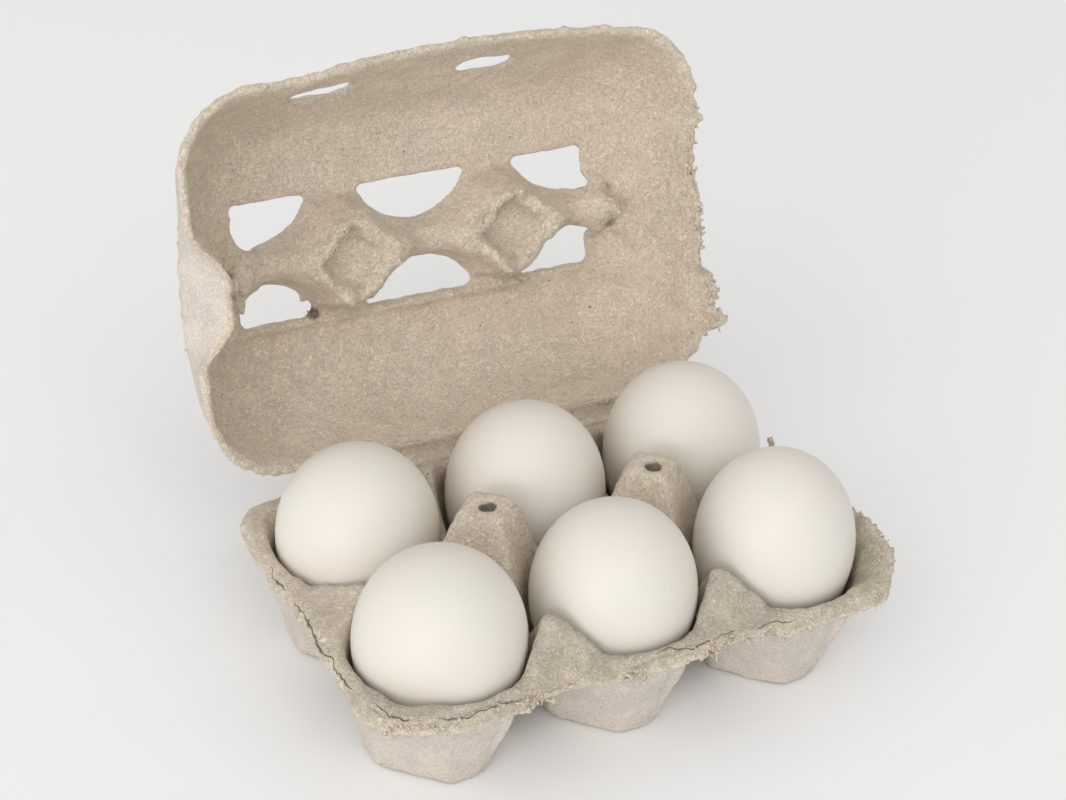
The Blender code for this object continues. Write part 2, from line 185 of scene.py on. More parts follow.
def box_depth(x, y, middle, half, corner):
    """How far points lie inside a rounded rectangle's edge."""
    qx = np.abs(x - middle[0]) - (half[0] - corner)
    qy = np.abs(y - middle[1]) - (half[1] - corner)
    outside = np.hypot(np.maximum(qx, 0.0), np.maximum(qy, 0.0))
    return corner - outside - np.minimum(np.maximum(qx, qy), 0.0)


def rounded_rectangle(middle, half, corner, spacing):
    """Points round a rounded rectangle, anticlockwise and evenly spaced."""
    dense = []
    for quarter in range(4):
        sx = 1 if quarter in (0, 3) else -1
        sy = 1 if quarter in (0, 1) else -1
        turn = math.pi / 2 * (quarter + np.linspace(0.0, 1.0, 40))
        x = middle[0] + sx * (half[0] - corner) + corner * np.cos(turn)
        y = middle[1] + sy * (half[1] - corner) + corner * np.sin(turn)
        dense.append(np.stack([x, y], axis=1))
    return even_loop(np.concatenate(dense), spacing)


def even_loop(points, spacing):
    """A closed outline's points set an even distance apart."""
    closed = np.concatenate([points, points[:1]])
    steps = np.hypot(*np.diff(closed, axis=0).T)
    along = np.concatenate([[0.0], np.cumsum(steps)])
    places = np.linspace(0.0, along[-1], max(12, round(along[-1] / spacing)), endpoint=False)
    return np.stack([np.interp(places, along, closed[:, i]) for i in (0, 1)], axis=1)


def solve_height(test, low, high, shape):
    """Highest value for which test holds at each point; it holds below and not above."""
    bottom = np.full(shape, float(low))
    top = np.full(shape, float(high))
    for _ in range(22):
        middle = (bottom + top) / 2
        holds = test(middle)
        bottom = np.where(holds, middle, bottom)
        top = np.where(holds, top, middle)
    return bottom


# --- Tray --------------------------------------------------------------------


def cup_radius(angle, z, rounding=0.7):
    """Inner radius of a cup: an octagon at the floor, nearly round above."""
    flat = np.interp(z, CUP_WALL_Z, CUP_FLAT)
    diagonal = np.interp(z, CUP_WALL_Z, CUP_DIAGONAL)
    folded = np.abs((angle + math.pi / 4) % (math.pi / 2) - math.pi / 4)
    octagon = np.minimum(flat / np.cos(folded), diagonal / np.cos(math.pi / 4 - folded))
    share = rounding * smooth_step(8.0, 28.0, z)
    return octagon + ((flat + diagonal) / 2 - octagon) * share


def cup_height(x, y, grow):
    """Height of the nearest cup's wall, or of the same wall moved out by grow."""
    cell_x = PITCH * np.clip(np.round(x / PITCH), -1, 1)
    cell_y = np.where(y < 0, -PITCH / 2, PITCH / 2)
    radius = np.hypot(x - cell_x, y - cell_y) - grow
    angle = np.arctan2(y - cell_y, x - cell_x)
    # A crease runs up the middle of each cup's front face
    crease = bump(angle, -math.pi / 2 + 0.27, 0.040) - 0.8 * bump(angle, -math.pi / 2 + 0.35, 0.045)
    radius = radius + (0.3 if grow == 0 else 1.1) * crease * smooth_step(4.0, 10.0, radius)
    outward = smooth_step(6.0, 14.0, np.abs(y) - PITCH / 2)
    outward = np.maximum(outward, smooth_step(6.0, 14.0, np.abs(x) - PITCH))

    rounding = 0.7 if grow == 0 else 0.3

    def covered(z):
        return cup_radius(angle, z, rounding) - 1.7 * outward * smooth_step(29.0, 40.0, z) <= radius

    return solve_height(covered, CUP_FLOOR_Z, 60.0, x.shape)


def fin_height(t, fin):
    """Height along a divider's outer fin: saddle, apex, then the sloping facet."""
    rise = SADDLE_Z + (fin["apex_z"] - SADDLE_Z) * smooth_step(fin["saddle"], fin["apex"], t)
    share = np.clip((t - fin["apex"]) / (fin["foot"] - fin["apex"]), 0.0, 1.0)
    fall = fin["apex_z"] + (RIM_Z - fin["apex_z"]) * share
    return np.where(t <= fin["apex"], rise, fall)


def rim_lift(x, y):
    """Bends of the rim: a raised flap at the front right, a dip under each fin."""
    flap = 8.6 * smooth_step(-51.0, -41.0, y) * (1.0 - smooth_step(-28.0, -8.0, y))
    flap = flap * smooth_step(68.0, 75.0, x) * (1.0 + 0.12 * flat_noise(x, y, 3.0, 35, 2))
    corner = 0.5 * bump(x, -66.0, 12.0) * bump(np.abs(y), 44.0, 12.0)
    dips = sum(bump(x, side * PITCH / 2, 9.0) for side in (-1, 1))
    dip = -2.2 * dips * smooth_step(45.5, 50.0, np.abs(y))
    wave = 0.8 * flat_noise(x, y, 17.0, 5, 2) - 0.4
    return flap + corner + dip + wave


def rim_crack_and_shadow(x, y, depth):
    """Depth of the split between the rim's two layers, and how much painted shadow darkens it."""
    place = 1.3 + 1.0 * flat_noise(x, y, 8.0, 81, 2)
    along = smooth_step(-0.1, 0.25, flat_noise(x, y, 13.0, 83, 2) + 0.12)
    along = along * (1.0 - 0.6 * smooth_step(20.0, 42.0, x)) * (1.0 - smooth_step(20.0, 40.0, y))
    gap = bump(depth, place, 0.42) * along
    lower_layer = (1.0 - smooth_step(place - 0.5, place, depth)) * along
    return 1.0 * gap + 0.8 * lower_layer, gap


# Paths, widths and seeds of the thin dark strips along the rim's edge: painted shadow under its upper layer
RIM_CRACK_SHADOWS = (
    (((-74.0, 21.0), (-73.9, 8.0), (-74.0, -10.0), (-73.6, -33.0), (-70.6, -44.0), (-66.5, -48.0)), 0.95, 3),
    (((-68.0, -47.4), (-60.0, -49.3), (-50.0, -49.4), (-40.0, -49.0)), 0.6, 4),
    (((-9.0, -49.6), (0.0, -48.4), (12.0, -49.2), (22.0, -48.6)), 0.6, 5),
    (((28.0, -49.4), (38.0, -48.7), (46.0, -49.3)), 0.45, 6),
)


def top_height(x, y):
    """Upper surface of the tray between and around its cups."""
    depth = box_depth(x, y, (0.0, 0.0), RIM_HALF, RIM_CORNER)
    edge = smooth_step(0.0, 2.2, depth)
    height = RIM_Z - 0.8 + (CREST_Z - RIM_Z + 0.8) * edge
    height = height - rim_crack_and_shadow(x, y, depth)[0]
    height = height + rim_lift(x, y) * (1.0 - smooth_step(5.0, 13.0, depth))
    height = np.maximum(SADDLE_Z, height - np.maximum(0.0, depth - 6.0))
    for side in (-1, 1):
        across = np.abs(x - side * PITCH / 2)
        fade = smooth_step(8.5, 16.0, across)
        fin = fin_height(np.abs(y), FRONT_FIN)
        height = smooth_max(height, fin + (SADDLE_Z - 4.0 - fin) * fade, 2.0)
        reach = 0.95 * (across**1.06 + np.abs(y) ** 1.06) ** 0.943
        fall = 0.5 * smooth_step(6.8, 21.5, reach) + 0.5 * np.clip((reach - 6.8) / 14.5, 0.0, 1.0)
        height = smooth_max(height, POST_Z + (SADDLE_Z - 4.0 - POST_Z) * fall, 0.6)
    fade = smooth_step(8.5, 16.0, np.abs(y))
    fin = fin_height(np.abs(x), END_FIN)
    return smooth_max(height, fin + (SADDLE_Z - 4.0 - fin) * fade, 2.0)


def tray_upper(x, y):
    height = smooth_min(top_height(x, y), cup_height(x, y, 0.0), 1.3)
    for side in (-1, 1):
        pit = np.hypot((x - side * PITCH / 2) / 1.3, y + 0.4)
        height = height - 3.4 * (1.0 - smooth_step(1.2, 2.3, pit))
    return height


def tray_lower(x, y):
    top = top_height(x, y)
    step = 0.5
    slope = np.hypot(top_height(x + step, y) - top, top_height(x, y + step) - top) / step
    under = top - PULP * np.sqrt(1.0 + np.minimum(slope, 3.0) ** 2)
    wall = cup_height(x, y, PULP)
    wall = wall - CUP_FLOOR_Z * (1.0 - smooth_step(CUP_FLOOR_Z, 9.0, wall))
    height = smooth_min(under, wall, 0.9)
    for side in (-1, 1):
        pit = np.hypot((x - side * PITCH / 2) / 1.25, y + 0.6)
        height = height - 3.2 * (1.0 - smooth_step(2.2, 4.2, pit))
    return height


def torn_outline(loop, size, depth, seed, rounds=2, point=0.0):
    """Moves an outline's points in and out as torn pulp, and its corners out by point."""
    for _ in range(rounds):
        loop = (np.roll(loop, 1, axis=0) + 2 * loop + np.roll(loop, -1, axis=0)) / 4
    ahead = np.roll(loop, -1, axis=0) - np.roll(loop, 1, axis=0)
    normal = np.stack([ahead[:, 1], -ahead[:, 0]], axis=1)
    normal /= np.linalg.norm(normal, axis=1)[:, None]
    shift = depth * flat_noise(loop[:, 0], loop[:, 1], size, seed, 3)
    step = np.roll(loop, -1, axis=0) - loop
    step /= np.linalg.norm(step, axis=1)[:, None]
    bend = (step * np.roll(step, 1, axis=0)).sum(axis=1)
    bend = np.minimum(bend, np.minimum(np.roll(bend, 1), np.roll(bend, -1)))
    straight = smooth_step(0.75, 0.97, bend)
    shift = shift * straight + point * (1.0 - straight)
    return loop + normal * shift[:, None]


def tray_plan():
    """Outline and inner plan points, closer together where cups turn."""
    outline = rounded_rectangle((0.0, 0.0), RIM_HALF, RIM_CORNER, 1.0)
    rings = []
    turn = np.linspace(0.0, 2 * math.pi, 120, endpoint=False)
    for column in (-1, 0, 1):
        for row in (-0.5, 0.5):
            for z, extra in ((2.0, -0.5), (2.0, 1.2), (2.0, PULP), (14.0, 0.0), (22.0, 0.0)):
                radius = cup_radius(turn, z) + extra
                x = column * PITCH + radius * np.cos(turn)
                y = row * PITCH + radius * np.sin(turn)
                rings.append(np.stack([x, y], axis=1))
    return torn_outline(outline, 3.6, 0.7, 11), np.concatenate(rings)


# --- Lid ---------------------------------------------------------------------


def lid_wall_height(x, v, grow):
    """Inner height of the lid's walls and panel, or of the same moved out by grow."""

    def inside(w):
        inset = np.interp(w, WALL_W, WALL_INSET)
        front = LID_FRONT_V - inset - np.interp(w, WALL_W, WALL_FRONT) + grow
        back = LID_BACK_V + inset - grow
        corner = np.interp(w, WALL_W, WALL_CORNER) + grow
        half = (LID_HALF_X - inset + grow, (front - back) / 2)
        return box_depth(x, v, (0.0, (front + back) / 2), half, corner) >= 0

    return solve_height(inside, 0.0, PANEL_W, x.shape)


def spine_height(x, v):
    """Inner height of the bar between the windows, with its two sockets."""
    across = np.abs(v - SPINE_V)
    near_peak = np.abs(np.abs(x) - PITCH / 2)
    gap = np.minimum(
        np.hypot(x, across - PITCH / 2), np.hypot(np.abs(x) - PITCH, across - PITCH / 2)
    )
    side = PANEL_W - 3.2 * (gap - WINDOW_RADIUS)
    reach = near_peak + across
    top = SOCKET_LIP_W + 1.0 * np.maximum(0.0, reach - 14.6)
    top = np.minimum(top, 22.0) + 2.7 * np.maximum(0.0, across - 11.2)
    # The socket's left walls are steep, and its right walls run out gently
    from_peak = np.where(x < 0, x + PITCH / 2, x - PITCH / 2)
    steep = 2.6 - 1.1 * smooth_step(-4.0, 6.0, from_peak)
    socket = SOCKET_LIP_W + np.clip(steep * (11.2 - reach), 0.0, SOCKET_FLOOR_W - SOCKET_LIP_W)
    left = 1.0 - smooth_step(-5.0, 2.0, from_peak)
    top = smooth_max(top, socket, 3.4 - 3.0 * left)
    lip = bump(reach, 14.0, 4.0) * (2.1 * flat_noise(x, v, 3.0, 61, 3) - 0.3)
    lip = lip - bump(reach, 15.0, 4.5) * (0.8 * left - 0.4 * (1.0 - left))
    return smooth_max(side, top, 1.2) + lip * smooth_step(2.0, 6.0, gap - WINDOW_RADIUS + 4.0)


def lid_inner(x, v):
    wall = lid_wall_height(x, v, 0.0)
    band = smooth_step(16.2, 17.6, np.abs(v - SPINE_V))
    spine = spine_height(x, v) + 20.0 * band
    height = smooth_min(wall, spine, 1.4)
    # A curled lip under the windows nearer the hinge
    lip = (2.9 + 1.4 * flat_noise(x, v, 6.0, 57, 2)) * bump(v, SPINE_V - WINDOW_REACH_V - 1.2, 1.4)
    lip = lip * (1.0 - smooth_step(54.0, 58.0, np.abs(x))) * (1.0 - 0.5 * smooth_step(28.0, 38.0, x))
    height = height - lip * smooth_step(24.0, 28.0, height)
    # Torn lumps where the spine meets the end walls
    for end, w in ((-1, 15.5), (1, 17.0)):
        reach2 = ((x - end * 55.6) / 1.2) ** 2 + ((v - SPINE_V) / 1.35) ** 2
        lump = w + reach2 / 4.6 + 2.6 * flat_noise(x, v, 3.8, 71 + end, 3)
        height = smooth_min(height, lump, 0.8)
    for v_hole in (-5.6, 5.8):
        reach2 = (x - 58.6) ** 2 + (v - SPINE_V - v_hole) ** 2
        height = height + 2.2 * np.exp(-reach2 / 2.4)
    return height


def lid_outer(x, v):
    inner = lid_inner(x, v)
    wall = lid_wall_height(x, v, PULP - 0.4)
    wall = wall + 1.5 + (PULP - 1.5) * smooth_step(0.0, PANEL_W, wall)
    step = 0.5
    slope = np.hypot(lid_inner(x + step, v) - inner, lid_inner(x, v + step) - inner) / step
    spine = inner + PULP * np.sqrt(1.0 + np.minimum(slope, 3.2) ** 2)
    in_band = 1.0 - smooth_step(17.0, 19.0, np.abs(v - SPINE_V))
    in_band = in_band * (1.0 - smooth_step(54.0, 58.0, np.abs(x)))
    height = np.minimum(wall, wall + (spine - wall) * in_band)
    return np.maximum(height, inner + 1.5)


def window_loop(column, side):
    """One window: a circle round the egg, cut straight on its outer side and end."""
    egg_x = column * PITCH
    egg_v = SPINE_V + side * PITCH / 2
    turn = np.linspace(0.0, 2 * math.pi, 240, endpoint=False)
    x = egg_x + WINDOW_RADIUS * np.cos(turn)
    v = egg_v + WINDOW_RADIUS * np.sin(turn)
    x = np.clip(x, -WINDOW_REACH_X, WINDOW_REACH_X)
    limit = SPINE_V + side * WINDOW_REACH_V
    v = np.minimum(v, limit) if side > 0 else np.maximum(v, limit)
    points = np.stack([x, v], axis=1)
    keep = np.hypot(*(points - np.roll(points, 1, axis=0)).T) > 0.02
    return torn_outline(even_loop(points[keep], 0.6), 3.0, 0.22, 31 + column, 1, 0.55)


def slot_loop(x, half_length):
    """A latch slot through the lid's front wall, narrower towards its ends."""
    turn = np.linspace(0.0, 2 * math.pi, 80, endpoint=False)
    along = half_length * np.sign(np.cos(turn)) * np.abs(np.cos(turn)) ** 0.6
    across = 1.55 * np.sign(np.sin(turn)) * np.abs(np.sin(turn)) ** 0.6
    points = np.stack([x + along, 99.6 + across], axis=1)
    return torn_outline(even_loop(points, 0.6), 2.0, 0.3, 41, 1)


def lid_plan():
    middle = (0.0, (LID_FRONT_V + LID_BACK_V) / 2)
    half = (LID_HALF_X, (LID_FRONT_V - LID_BACK_V) / 2)
    outline = torn_outline(rounded_rectangle(middle, half, LID_CORNER, 1.0), 6.0, 0.5, 21)
    holes = [window_loop(column, side) for column in (-1, 0, 1) for side in (-1, 1)]
    holes += [slot_loop(-29.8, 9.2), slot_loop(18.4, 8.7)]
    return outline, holes


TEARS = ((78.0, 1.6, 2.2), (66.0, 9.0, -1.2), (19.0, 1.5, 2.2), (10.0, 4.0, -1.0))


def bend_lid(points):
    """Dents, bulges and torn edges of the lid's rim, over its plain shape."""
    x, v, w = points.T
    low = 1.0 - smooth_step(0.0, 26.0, w)
    rim = 1.0 - smooth_step(0.0, 9.0, w)
    front = smooth_step(80.0, 104.0, v)
    arch = np.maximum(-1.6, 1.9 - 3.0 * ((x - 8.0) / 45.0) ** 2)
    new_v = v + arch * front * low
    left = smooth_step(48.0, 66.0, -x)
    dent = 8.8 * smooth_step(34.0, 46.0, v) * (1.0 - smooth_step(57.0, 73.0, v))
    belly = 3.0 * bump(w, 13.0, 8.0) * bump(v, 46.0, 24.0)
    new_x = x + left * (dent * (1.0 - smooth_step(0.0, 13.0, w)) - belly)
    right = smooth_step(56.0, 72.0, x)
    torn = sum(size * bump(v, place, width) for place, width, size in TEARS)
    points_on_edge = np.stack([0 * v, v, 0 * v], axis=1)
    ragged = 0.45 * lattice_noise(points_on_edge, 7.0, 66) + 1.1 * lattice_noise(points_on_edge, 1.6, 67)
    torn = torn + 0.5 * ragged * smooth_step(14.0, 20.0, v) * (1.0 - smooth_step(82.0, 92.0, v))
    torn = torn + 3.4 * smooth_step(15.5, 18.5, v) * (1.0 - smooth_step(33.0, 35.5, v))
    new_x = new_x + right * torn * rim
    new_w = w + right * rim * 0.9 * lattice_noise(points, 3.0, 77) * bump(v, 45.0, 40.0)
    return np.stack([new_x, new_v, new_w], axis=1)


# --- Sheets of pulp ------------------------------------------------------------


def inside_loop(points, loop):
    """Which plan points lie inside a closed outline."""
    inside = np.zeros(len(points), bool)
    x, y = points.T
    for (x1, y1), (x2, y2) in zip(loop, np.roll(loop, -1, axis=0)):
        if y1 != y2:
            crossed = (y1 > y) != (y2 > y)
            inside ^= crossed & (x < (x2 - x1) * (y - y1) / (y2 - y1) + x1)
    return inside


def plan_grid(outline, spacing):
    """Points in staggered rows over an outline's box."""
    low, high = outline.min(axis=0), outline.max(axis=0)
    rows = np.arange(low[1], high[1], spacing * math.sqrt(3) / 2)
    points = []
    for number, y in enumerate(rows):
        x = np.arange(low[0] + spacing / 2 * (number % 2), high[0], spacing)
        points.append(np.stack([x, np.full(len(x), y)], axis=1))
    return np.concatenate(points)


def spread(fixed, loose, distance):
    """The loose points that are at least this far from the fixed ones."""
    tree = KDTree(len(fixed))
    for number, (x, y) in enumerate(fixed):
        tree.insert((x, y, 0.0), number)
    tree.balance()
    keep = [tree.find((x, y, 0.0))[2] > distance for x, y in loose]
    return loose[np.array(keep)]


def sheet(outline, holes, extra, spacing, upper, lower):
    """A closed sheet between two heights over one plan, as points and triangles."""
    loops = [outline] + holes
    ring_points = np.concatenate(loops)
    inner = plan_grid(outline, spacing)
    if len(extra):
        extra = spread(ring_points, extra, spacing * 0.4)
        inner = np.concatenate([extra, spread(extra, inner, spacing * 0.5)])
    inner = spread(ring_points, inner, spacing * 0.5)
    keep = inside_loop(inner, outline)
    for hole in holes:
        keep &= ~inside_loop(inner, hole)
    plan = np.concatenate([ring_points, inner[keep]])
    edges, start = [], 0
    for loop in loops:
        marks = start + np.arange(len(loop))
        edges += list(zip(marks.tolist(), np.roll(marks, -1).tolist()))
        start += len(loop)
    found, _, faces, sources, _, _ = delaunay_2d_cdt([Vector(p) for p in plan], edges, [], 0, 1e-5)
    if len(found) != len(plan):
        raise ValueError("a sheet's outlines cross")
    back = np.array([source[0] for source in sources])
    faces = back[np.array([list(face) for face in faces])]
    middles = plan[faces].mean(axis=1)
    keep = inside_loop(middles, outline)
    for hole in holes:
        keep &= ~inside_loop(middles, hole)
    faces = faces[keep]
    x, y = plan.T
    tops = np.column_stack([plan, upper(x, y)])
    lows = np.column_stack([plan, lower(x, y)])
    count = len(plan)
    a, b = np.array(edges).T
    walls = np.concatenate([
        np.stack([a, b, b + count], axis=1), np.stack([a, b + count, a + count], axis=1)
    ])
    triangles = np.concatenate([faces, faces[:, ::-1] + count, walls[:, ::-1]])
    return np.concatenate([tops, lows]), triangles


def mesh_from(name, points, faces):
    mesh = bpy.data.meshes.new(name)
    mesh.from_pydata(np.asarray(points).tolist(), [], np.asarray(faces).tolist())
    mesh.update()
    return mesh


def vertex_array(mesh, what="co"):
    values = np.empty(len(mesh.vertices) * 3, np.float32)
    source = mesh.vertices if what == "co" else mesh.vertex_normals
    source.foreach_get("co" if what == "co" else "vector", values)
    return values.reshape(-1, 3).astype(float)


def remeshed(points, triangles, voxel):
    """Even quads over a closed mesh, as a new mesh in millimetres."""
    rough = mesh_from("rough", points, triangles)
    cleaner = bmesh.new()
    cleaner.from_mesh(rough)
    bmesh.ops.recalc_face_normals(cleaner, faces=cleaner.faces)
    cleaner.to_mesh(rough)
    cleaner.free()
    holder = bpy.data.objects.new("rough", rough)
    bpy.context.collection.objects.link(holder)
    made = holder.modifiers.new("Remesh", "REMESH")
    made.mode = "VOXEL"
    made.voxel_size = voxel
    graph = bpy.context.evaluated_depsgraph_get()
    mesh = bpy.data.meshes.new_from_object(holder.evaluated_get(graph))
    bpy.data.objects.remove(holder)
    bpy.data.meshes.remove(rough)
    return mesh


def with_blobs(shape, places, spread, radius, seed):
    """Adds small round lumps, scattered about each place, to a sheet's triangles."""
    points, triangles = shape
    builder = bmesh.new()
    bmesh.ops.create_icosphere(builder, subdivisions=1, radius=1.0)
    ball = np.array([vert.co[:] for vert in builder.verts])
    faces = np.array([[vert.index for vert in face.verts] for face in builder.faces])
    builder.free()
    chance = np.random.default_rng(seed)
    all_points, all_faces, count = [points], [triangles], len(points)
    for place, number in places:
        for _ in range(number):
            middle = np.array(place) + chance.normal(size=3) * spread
            stretch = chance.uniform(0.6, 1.3, 3) * chance.uniform(*radius)
            all_points.append(ball * stretch + middle)
            all_faces.append(faces + count)
            count += len(ball)
    return np.concatenate(all_points), np.concatenate(all_faces)


def relax(mesh, points, rounds, share=0.5):
    """Moves each point towards the middle of its neighbours."""
    edges = np.empty(len(mesh.edges) * 2, np.int32)
    mesh.edges.foreach_get("vertices", edges)
    a, b = edges.reshape(-1, 2).T
    number = np.bincount(np.concatenate([a, b]), minlength=len(points))[:, None]
    for _ in range(rounds):
        total = np.zeros_like(points)
        np.add.at(total, a, points[b])
        np.add.at(total, b, points[a])
        points = points + (total / number - points) * share
    return points


def store(mesh, points):
    mesh.vertices.foreach_set("co", np.asarray(points, np.float32).ravel())
    mesh.update()


def add_attribute(mesh, name, values):
    layer = mesh.attributes.new(name, "FLOAT", "POINT")
    layer.data.foreach_set("value", np.clip(values, 0.0, 1.0).astype(np.float32))


def pulp_relief(mesh, points, torn, size, seed=3):
    """Raises and lowers a pulp skin along its normals, more where it is torn."""
    store(mesh, points)
    normals = vertex_array(mesh, "normal")
    height = size * rough_noise(points, 7.0, seed, 2)
    height += 0.75 * size * rough_noise(points, 2.0, seed + 9, 1)
    lumps = 0.40 * rough_noise(points, 4.0, seed + 17, 2)
    height += torn * (lumps + 0.55 * rough_noise(points, 1.9, seed + 27, 1))
    return points + normals * height[:, None]


def add_fibres(mesh, torn, number, seed, lowest=-9.0):
    """Adds short bent fibres that stand out of the torn places of a pulp skin."""
    chance = np.random.default_rng(seed)
    points = vertex_array(mesh)
    normals = vertex_array(mesh, "normal")
    weight = (np.clip(torn - 0.25, 0.0, 1.0) ** 2 + 0.004) * (points[:, 2] > lowest)
    roots = chance.choice(len(points), number, replace=False, p=weight / weight.sum())
    builder = bmesh.new()
    builder.from_mesh(mesh)
    layers = [builder.verts.layers.float[name] for name in ("torn", "dirt", "outside")]
    for root in roots:
        lie = chance.normal(size=3)
        direction = normals[root] * chance.uniform(0.0, 0.5) + lie / np.linalg.norm(lie)
        direction /= np.linalg.norm(direction)
        swerve = chance.normal(size=3) * 0.5
        length = chance.uniform(0.5, 1.7)
        place = points[root] - normals[root] * 0.1
        last = []
        for step in range(4):
            side = np.cross(direction, (0.3, 0.5, 0.81))
            side /= np.linalg.norm(side)
            other = np.cross(direction, side)
            radius = 0.085 * (1.0 - 0.22 * step)
            ring = []
            for corner in range(3):
                turn = corner * 2.094
                spot = place + radius * (side * math.cos(turn) + other * math.sin(turn))
                vert = builder.verts.new(Vector(spot))
                for layer, value in zip(layers, (0.8, 0.0, 0.5)):
                    vert[layer] = value
                ring.append(vert)
            for corner in range(3):
                if last:
                    after = (corner + 1) % 3
                    builder.faces.new((last[corner], last[after], ring[after], ring[corner]))
            if step == 0:
                builder.faces.new(ring[::-1])
            last = ring
            place = place + direction * length / 3
            direction = direction + swerve * 0.33
            direction /= np.linalg.norm(direction)
        builder.faces.new(last)
    builder.to_mesh(mesh)
    builder.free()


def add_crack_shadow(mesh, path, width, seed):
    """Lays a thin dark strip on a skin along a plan path: painted shadow in the gap between two layers."""
    builder = bmesh.new()
    builder.from_mesh(mesh)
    tree = BVHTree.FromBMesh(builder)
    dirt = builder.verts.layers.float["dirt"]
    path = even_loop(np.asarray(path, float), 0.5)
    path = path[: len(path) // 2]
    sway = flat_noise(path[:, 0], path[:, 1], 3.0, seed, 3)
    wide = 0.9 + 0.8 * flat_noise(path[:, 0], path[:, 1], 2.4, seed + 9, 2)
    open_share = np.clip(flat_noise(path[:, 0], path[:, 1], 7.0, seed + 5, 2) * 2.2 + 0.95, 0.0, 1.0)
    ahead = np.gradient(path, axis=0)
    ahead /= np.linalg.norm(ahead, axis=1)[:, None]
    last = None
    for spot, line, shift, share in zip(path, ahead, sway, open_share * wide):
        half = 0.5 * width * float(share)
        side = Vector((-line[1], line[0], 0.0))
        middle = Vector((spot[0], spot[1], 0.0)) + side * float(0.9 * shift)
        hit = tree.ray_cast(middle + Vector((0, 0, 90)), Vector((0, 0, -1)))[0]
        if hit is None or half < 0.04:
            if last:
                builder.faces.new(last)
            last = None
            continue
        ring = []
        for across, rise in ((-half, -0.12), (-0.6 * half, 0.05), (0.6 * half, 0.05), (half, -0.12)):
            vert = builder.verts.new(hit + side * across + Vector((0, 0, rise)))
            vert[dirt] = 0.72
            ring.append(vert)
        if last is None:
            builder.faces.new(ring[::-1])
        for corner in range(4):
            if last:
                after = (corner + 1) % 4
                builder.faces.new((last[corner], last[after], ring[after], ring[corner]))
        last = ring
    if last:
        builder.faces.new(last)
    builder.to_mesh(mesh)
    builder.free()


def add_flakes(mesh, chosen, number, size, seed):
    """Adds small torn shards of pulp at some of the chosen points of a skin."""
    chance = np.random.default_rng(seed)
    points = vertex_array(mesh)
    normals = vertex_array(mesh, "normal")
    roots = chance.choice(np.flatnonzero(chosen), number, replace=False)
    builder = bmesh.new()
    builder.from_mesh(mesh)
    layers = [builder.verts.layers.float[name] for name in ("torn", "dirt", "outside")]
    for root in roots:
        out = normals[root] + 0.8 * chance.normal(size=3)
        out /= np.linalg.norm(out)
        side = np.cross(out, chance.normal(size=3))
        side /= np.linalg.norm(side)
        thin = np.cross(out, side) * 0.16
        reach = chance.uniform(*size)
        turns = np.linspace(0.0, 2 * math.pi, 7, endpoint=False)
        turns = turns + chance.uniform(-0.3, 0.3, 7)
        radii = reach * chance.uniform(0.45, 1.0, 7)
        rim = points[root] + 0.35 * reach * out
        rim = rim + radii[:, None] * (np.cos(turns)[:, None] * out + 0.7 * np.sin(turns)[:, None] * side)
        sheets = []
        for face in (-1, 1):
            sheets.append([builder.verts.new(Vector(spot + face * thin)) for spot in rim])
            for vert in sheets[-1]:
                for layer, value in zip(layers, (0.9, 0.12 * chance.uniform(), 0.4)):
                    vert[layer] = value
        builder.faces.new(sheets[0][::-1])
        builder.faces.new(sheets[1])
        for corner in range(7):
            after = (corner + 1) % 7
            builder.faces.new((sheets[0][corner], sheets[0][after], sheets[1][after], sheets[1][corner]))
    builder.to_mesh(mesh)
    builder.free()


def add_object(name, mesh, material):
    for polygon in mesh.polygons:
        polygon.use_smooth = True
    mesh.materials.append(material)
    made = bpy.data.objects.new(name, mesh)
    bpy.context.collection.objects.link(made)
    return made


def tray_to_frame(points):
    return (points + (TRAY_MIDDLE[0], TRAY_MIDDLE[1], 0.0)) / 1000


def lid_to_frame(points):
    """From the lid's own directions to the frame, at the opening it rests at."""
    x, v, w = np.asarray(points, float).T
    sin, cos = math.sin(OPENING - math.pi / 2), math.cos(OPENING - math.pi / 2)
    y = HINGE_SPOT[1] + v * sin + w * cos
    z = HINGE_SPOT[2] + v * cos - w * sin
    return np.stack([x + HINGE_SPOT[0], y, z], axis=1) / 1000


# --- Materials -----------------------------------------------------------------


class Wire:
    """One shader value that Python's operators work on."""

    def __init__(self, finish, socket):
        self.finish = finish
        self.socket = socket

    def math(self, operation, *values):
        return self.finish.node("ShaderNodeMath", {"operation": operation}, dict(enumerate(values)))

    def __add__(self, other):
        return self.math("ADD", self, other)

    def __sub__(self, other):
        return self.math("SUBTRACT", self, other)

    def __mul__(self, other):
        return self.math("MULTIPLY", self, other)

    def __truediv__(self, other):
        return self.math("DIVIDE", self, other)

    def __rsub__(self, other):
        return self.math("SUBTRACT", other, self)

    def __rtruediv__(self, other):
        return self.math("DIVIDE", other, self)

    def __pow__(self, other):
        return self.math("POWER", self, other)

    def __gt__(self, other):
        return self.math("GREATER_THAN", self, other)

    def __lt__(self, other):
        return self.math("LESS_THAN", self, other)

    __radd__ = __add__
    __rmul__ = __mul__

    def magnitude(self):
        return self.math("ABSOLUTE", self)

    def step(self, low, high, bottom=0.0, top=1.0):
        """This value taken from low..high to bottom..top along an S curve."""
        limits = {"Value": self, "From Min": low, "From Max": high, "To Min": bottom, "To Max": top}
        settings = {"interpolation_type": "SMOOTHSTEP"}
        return self.finish.node("ShaderNodeMapRange", settings, limits)


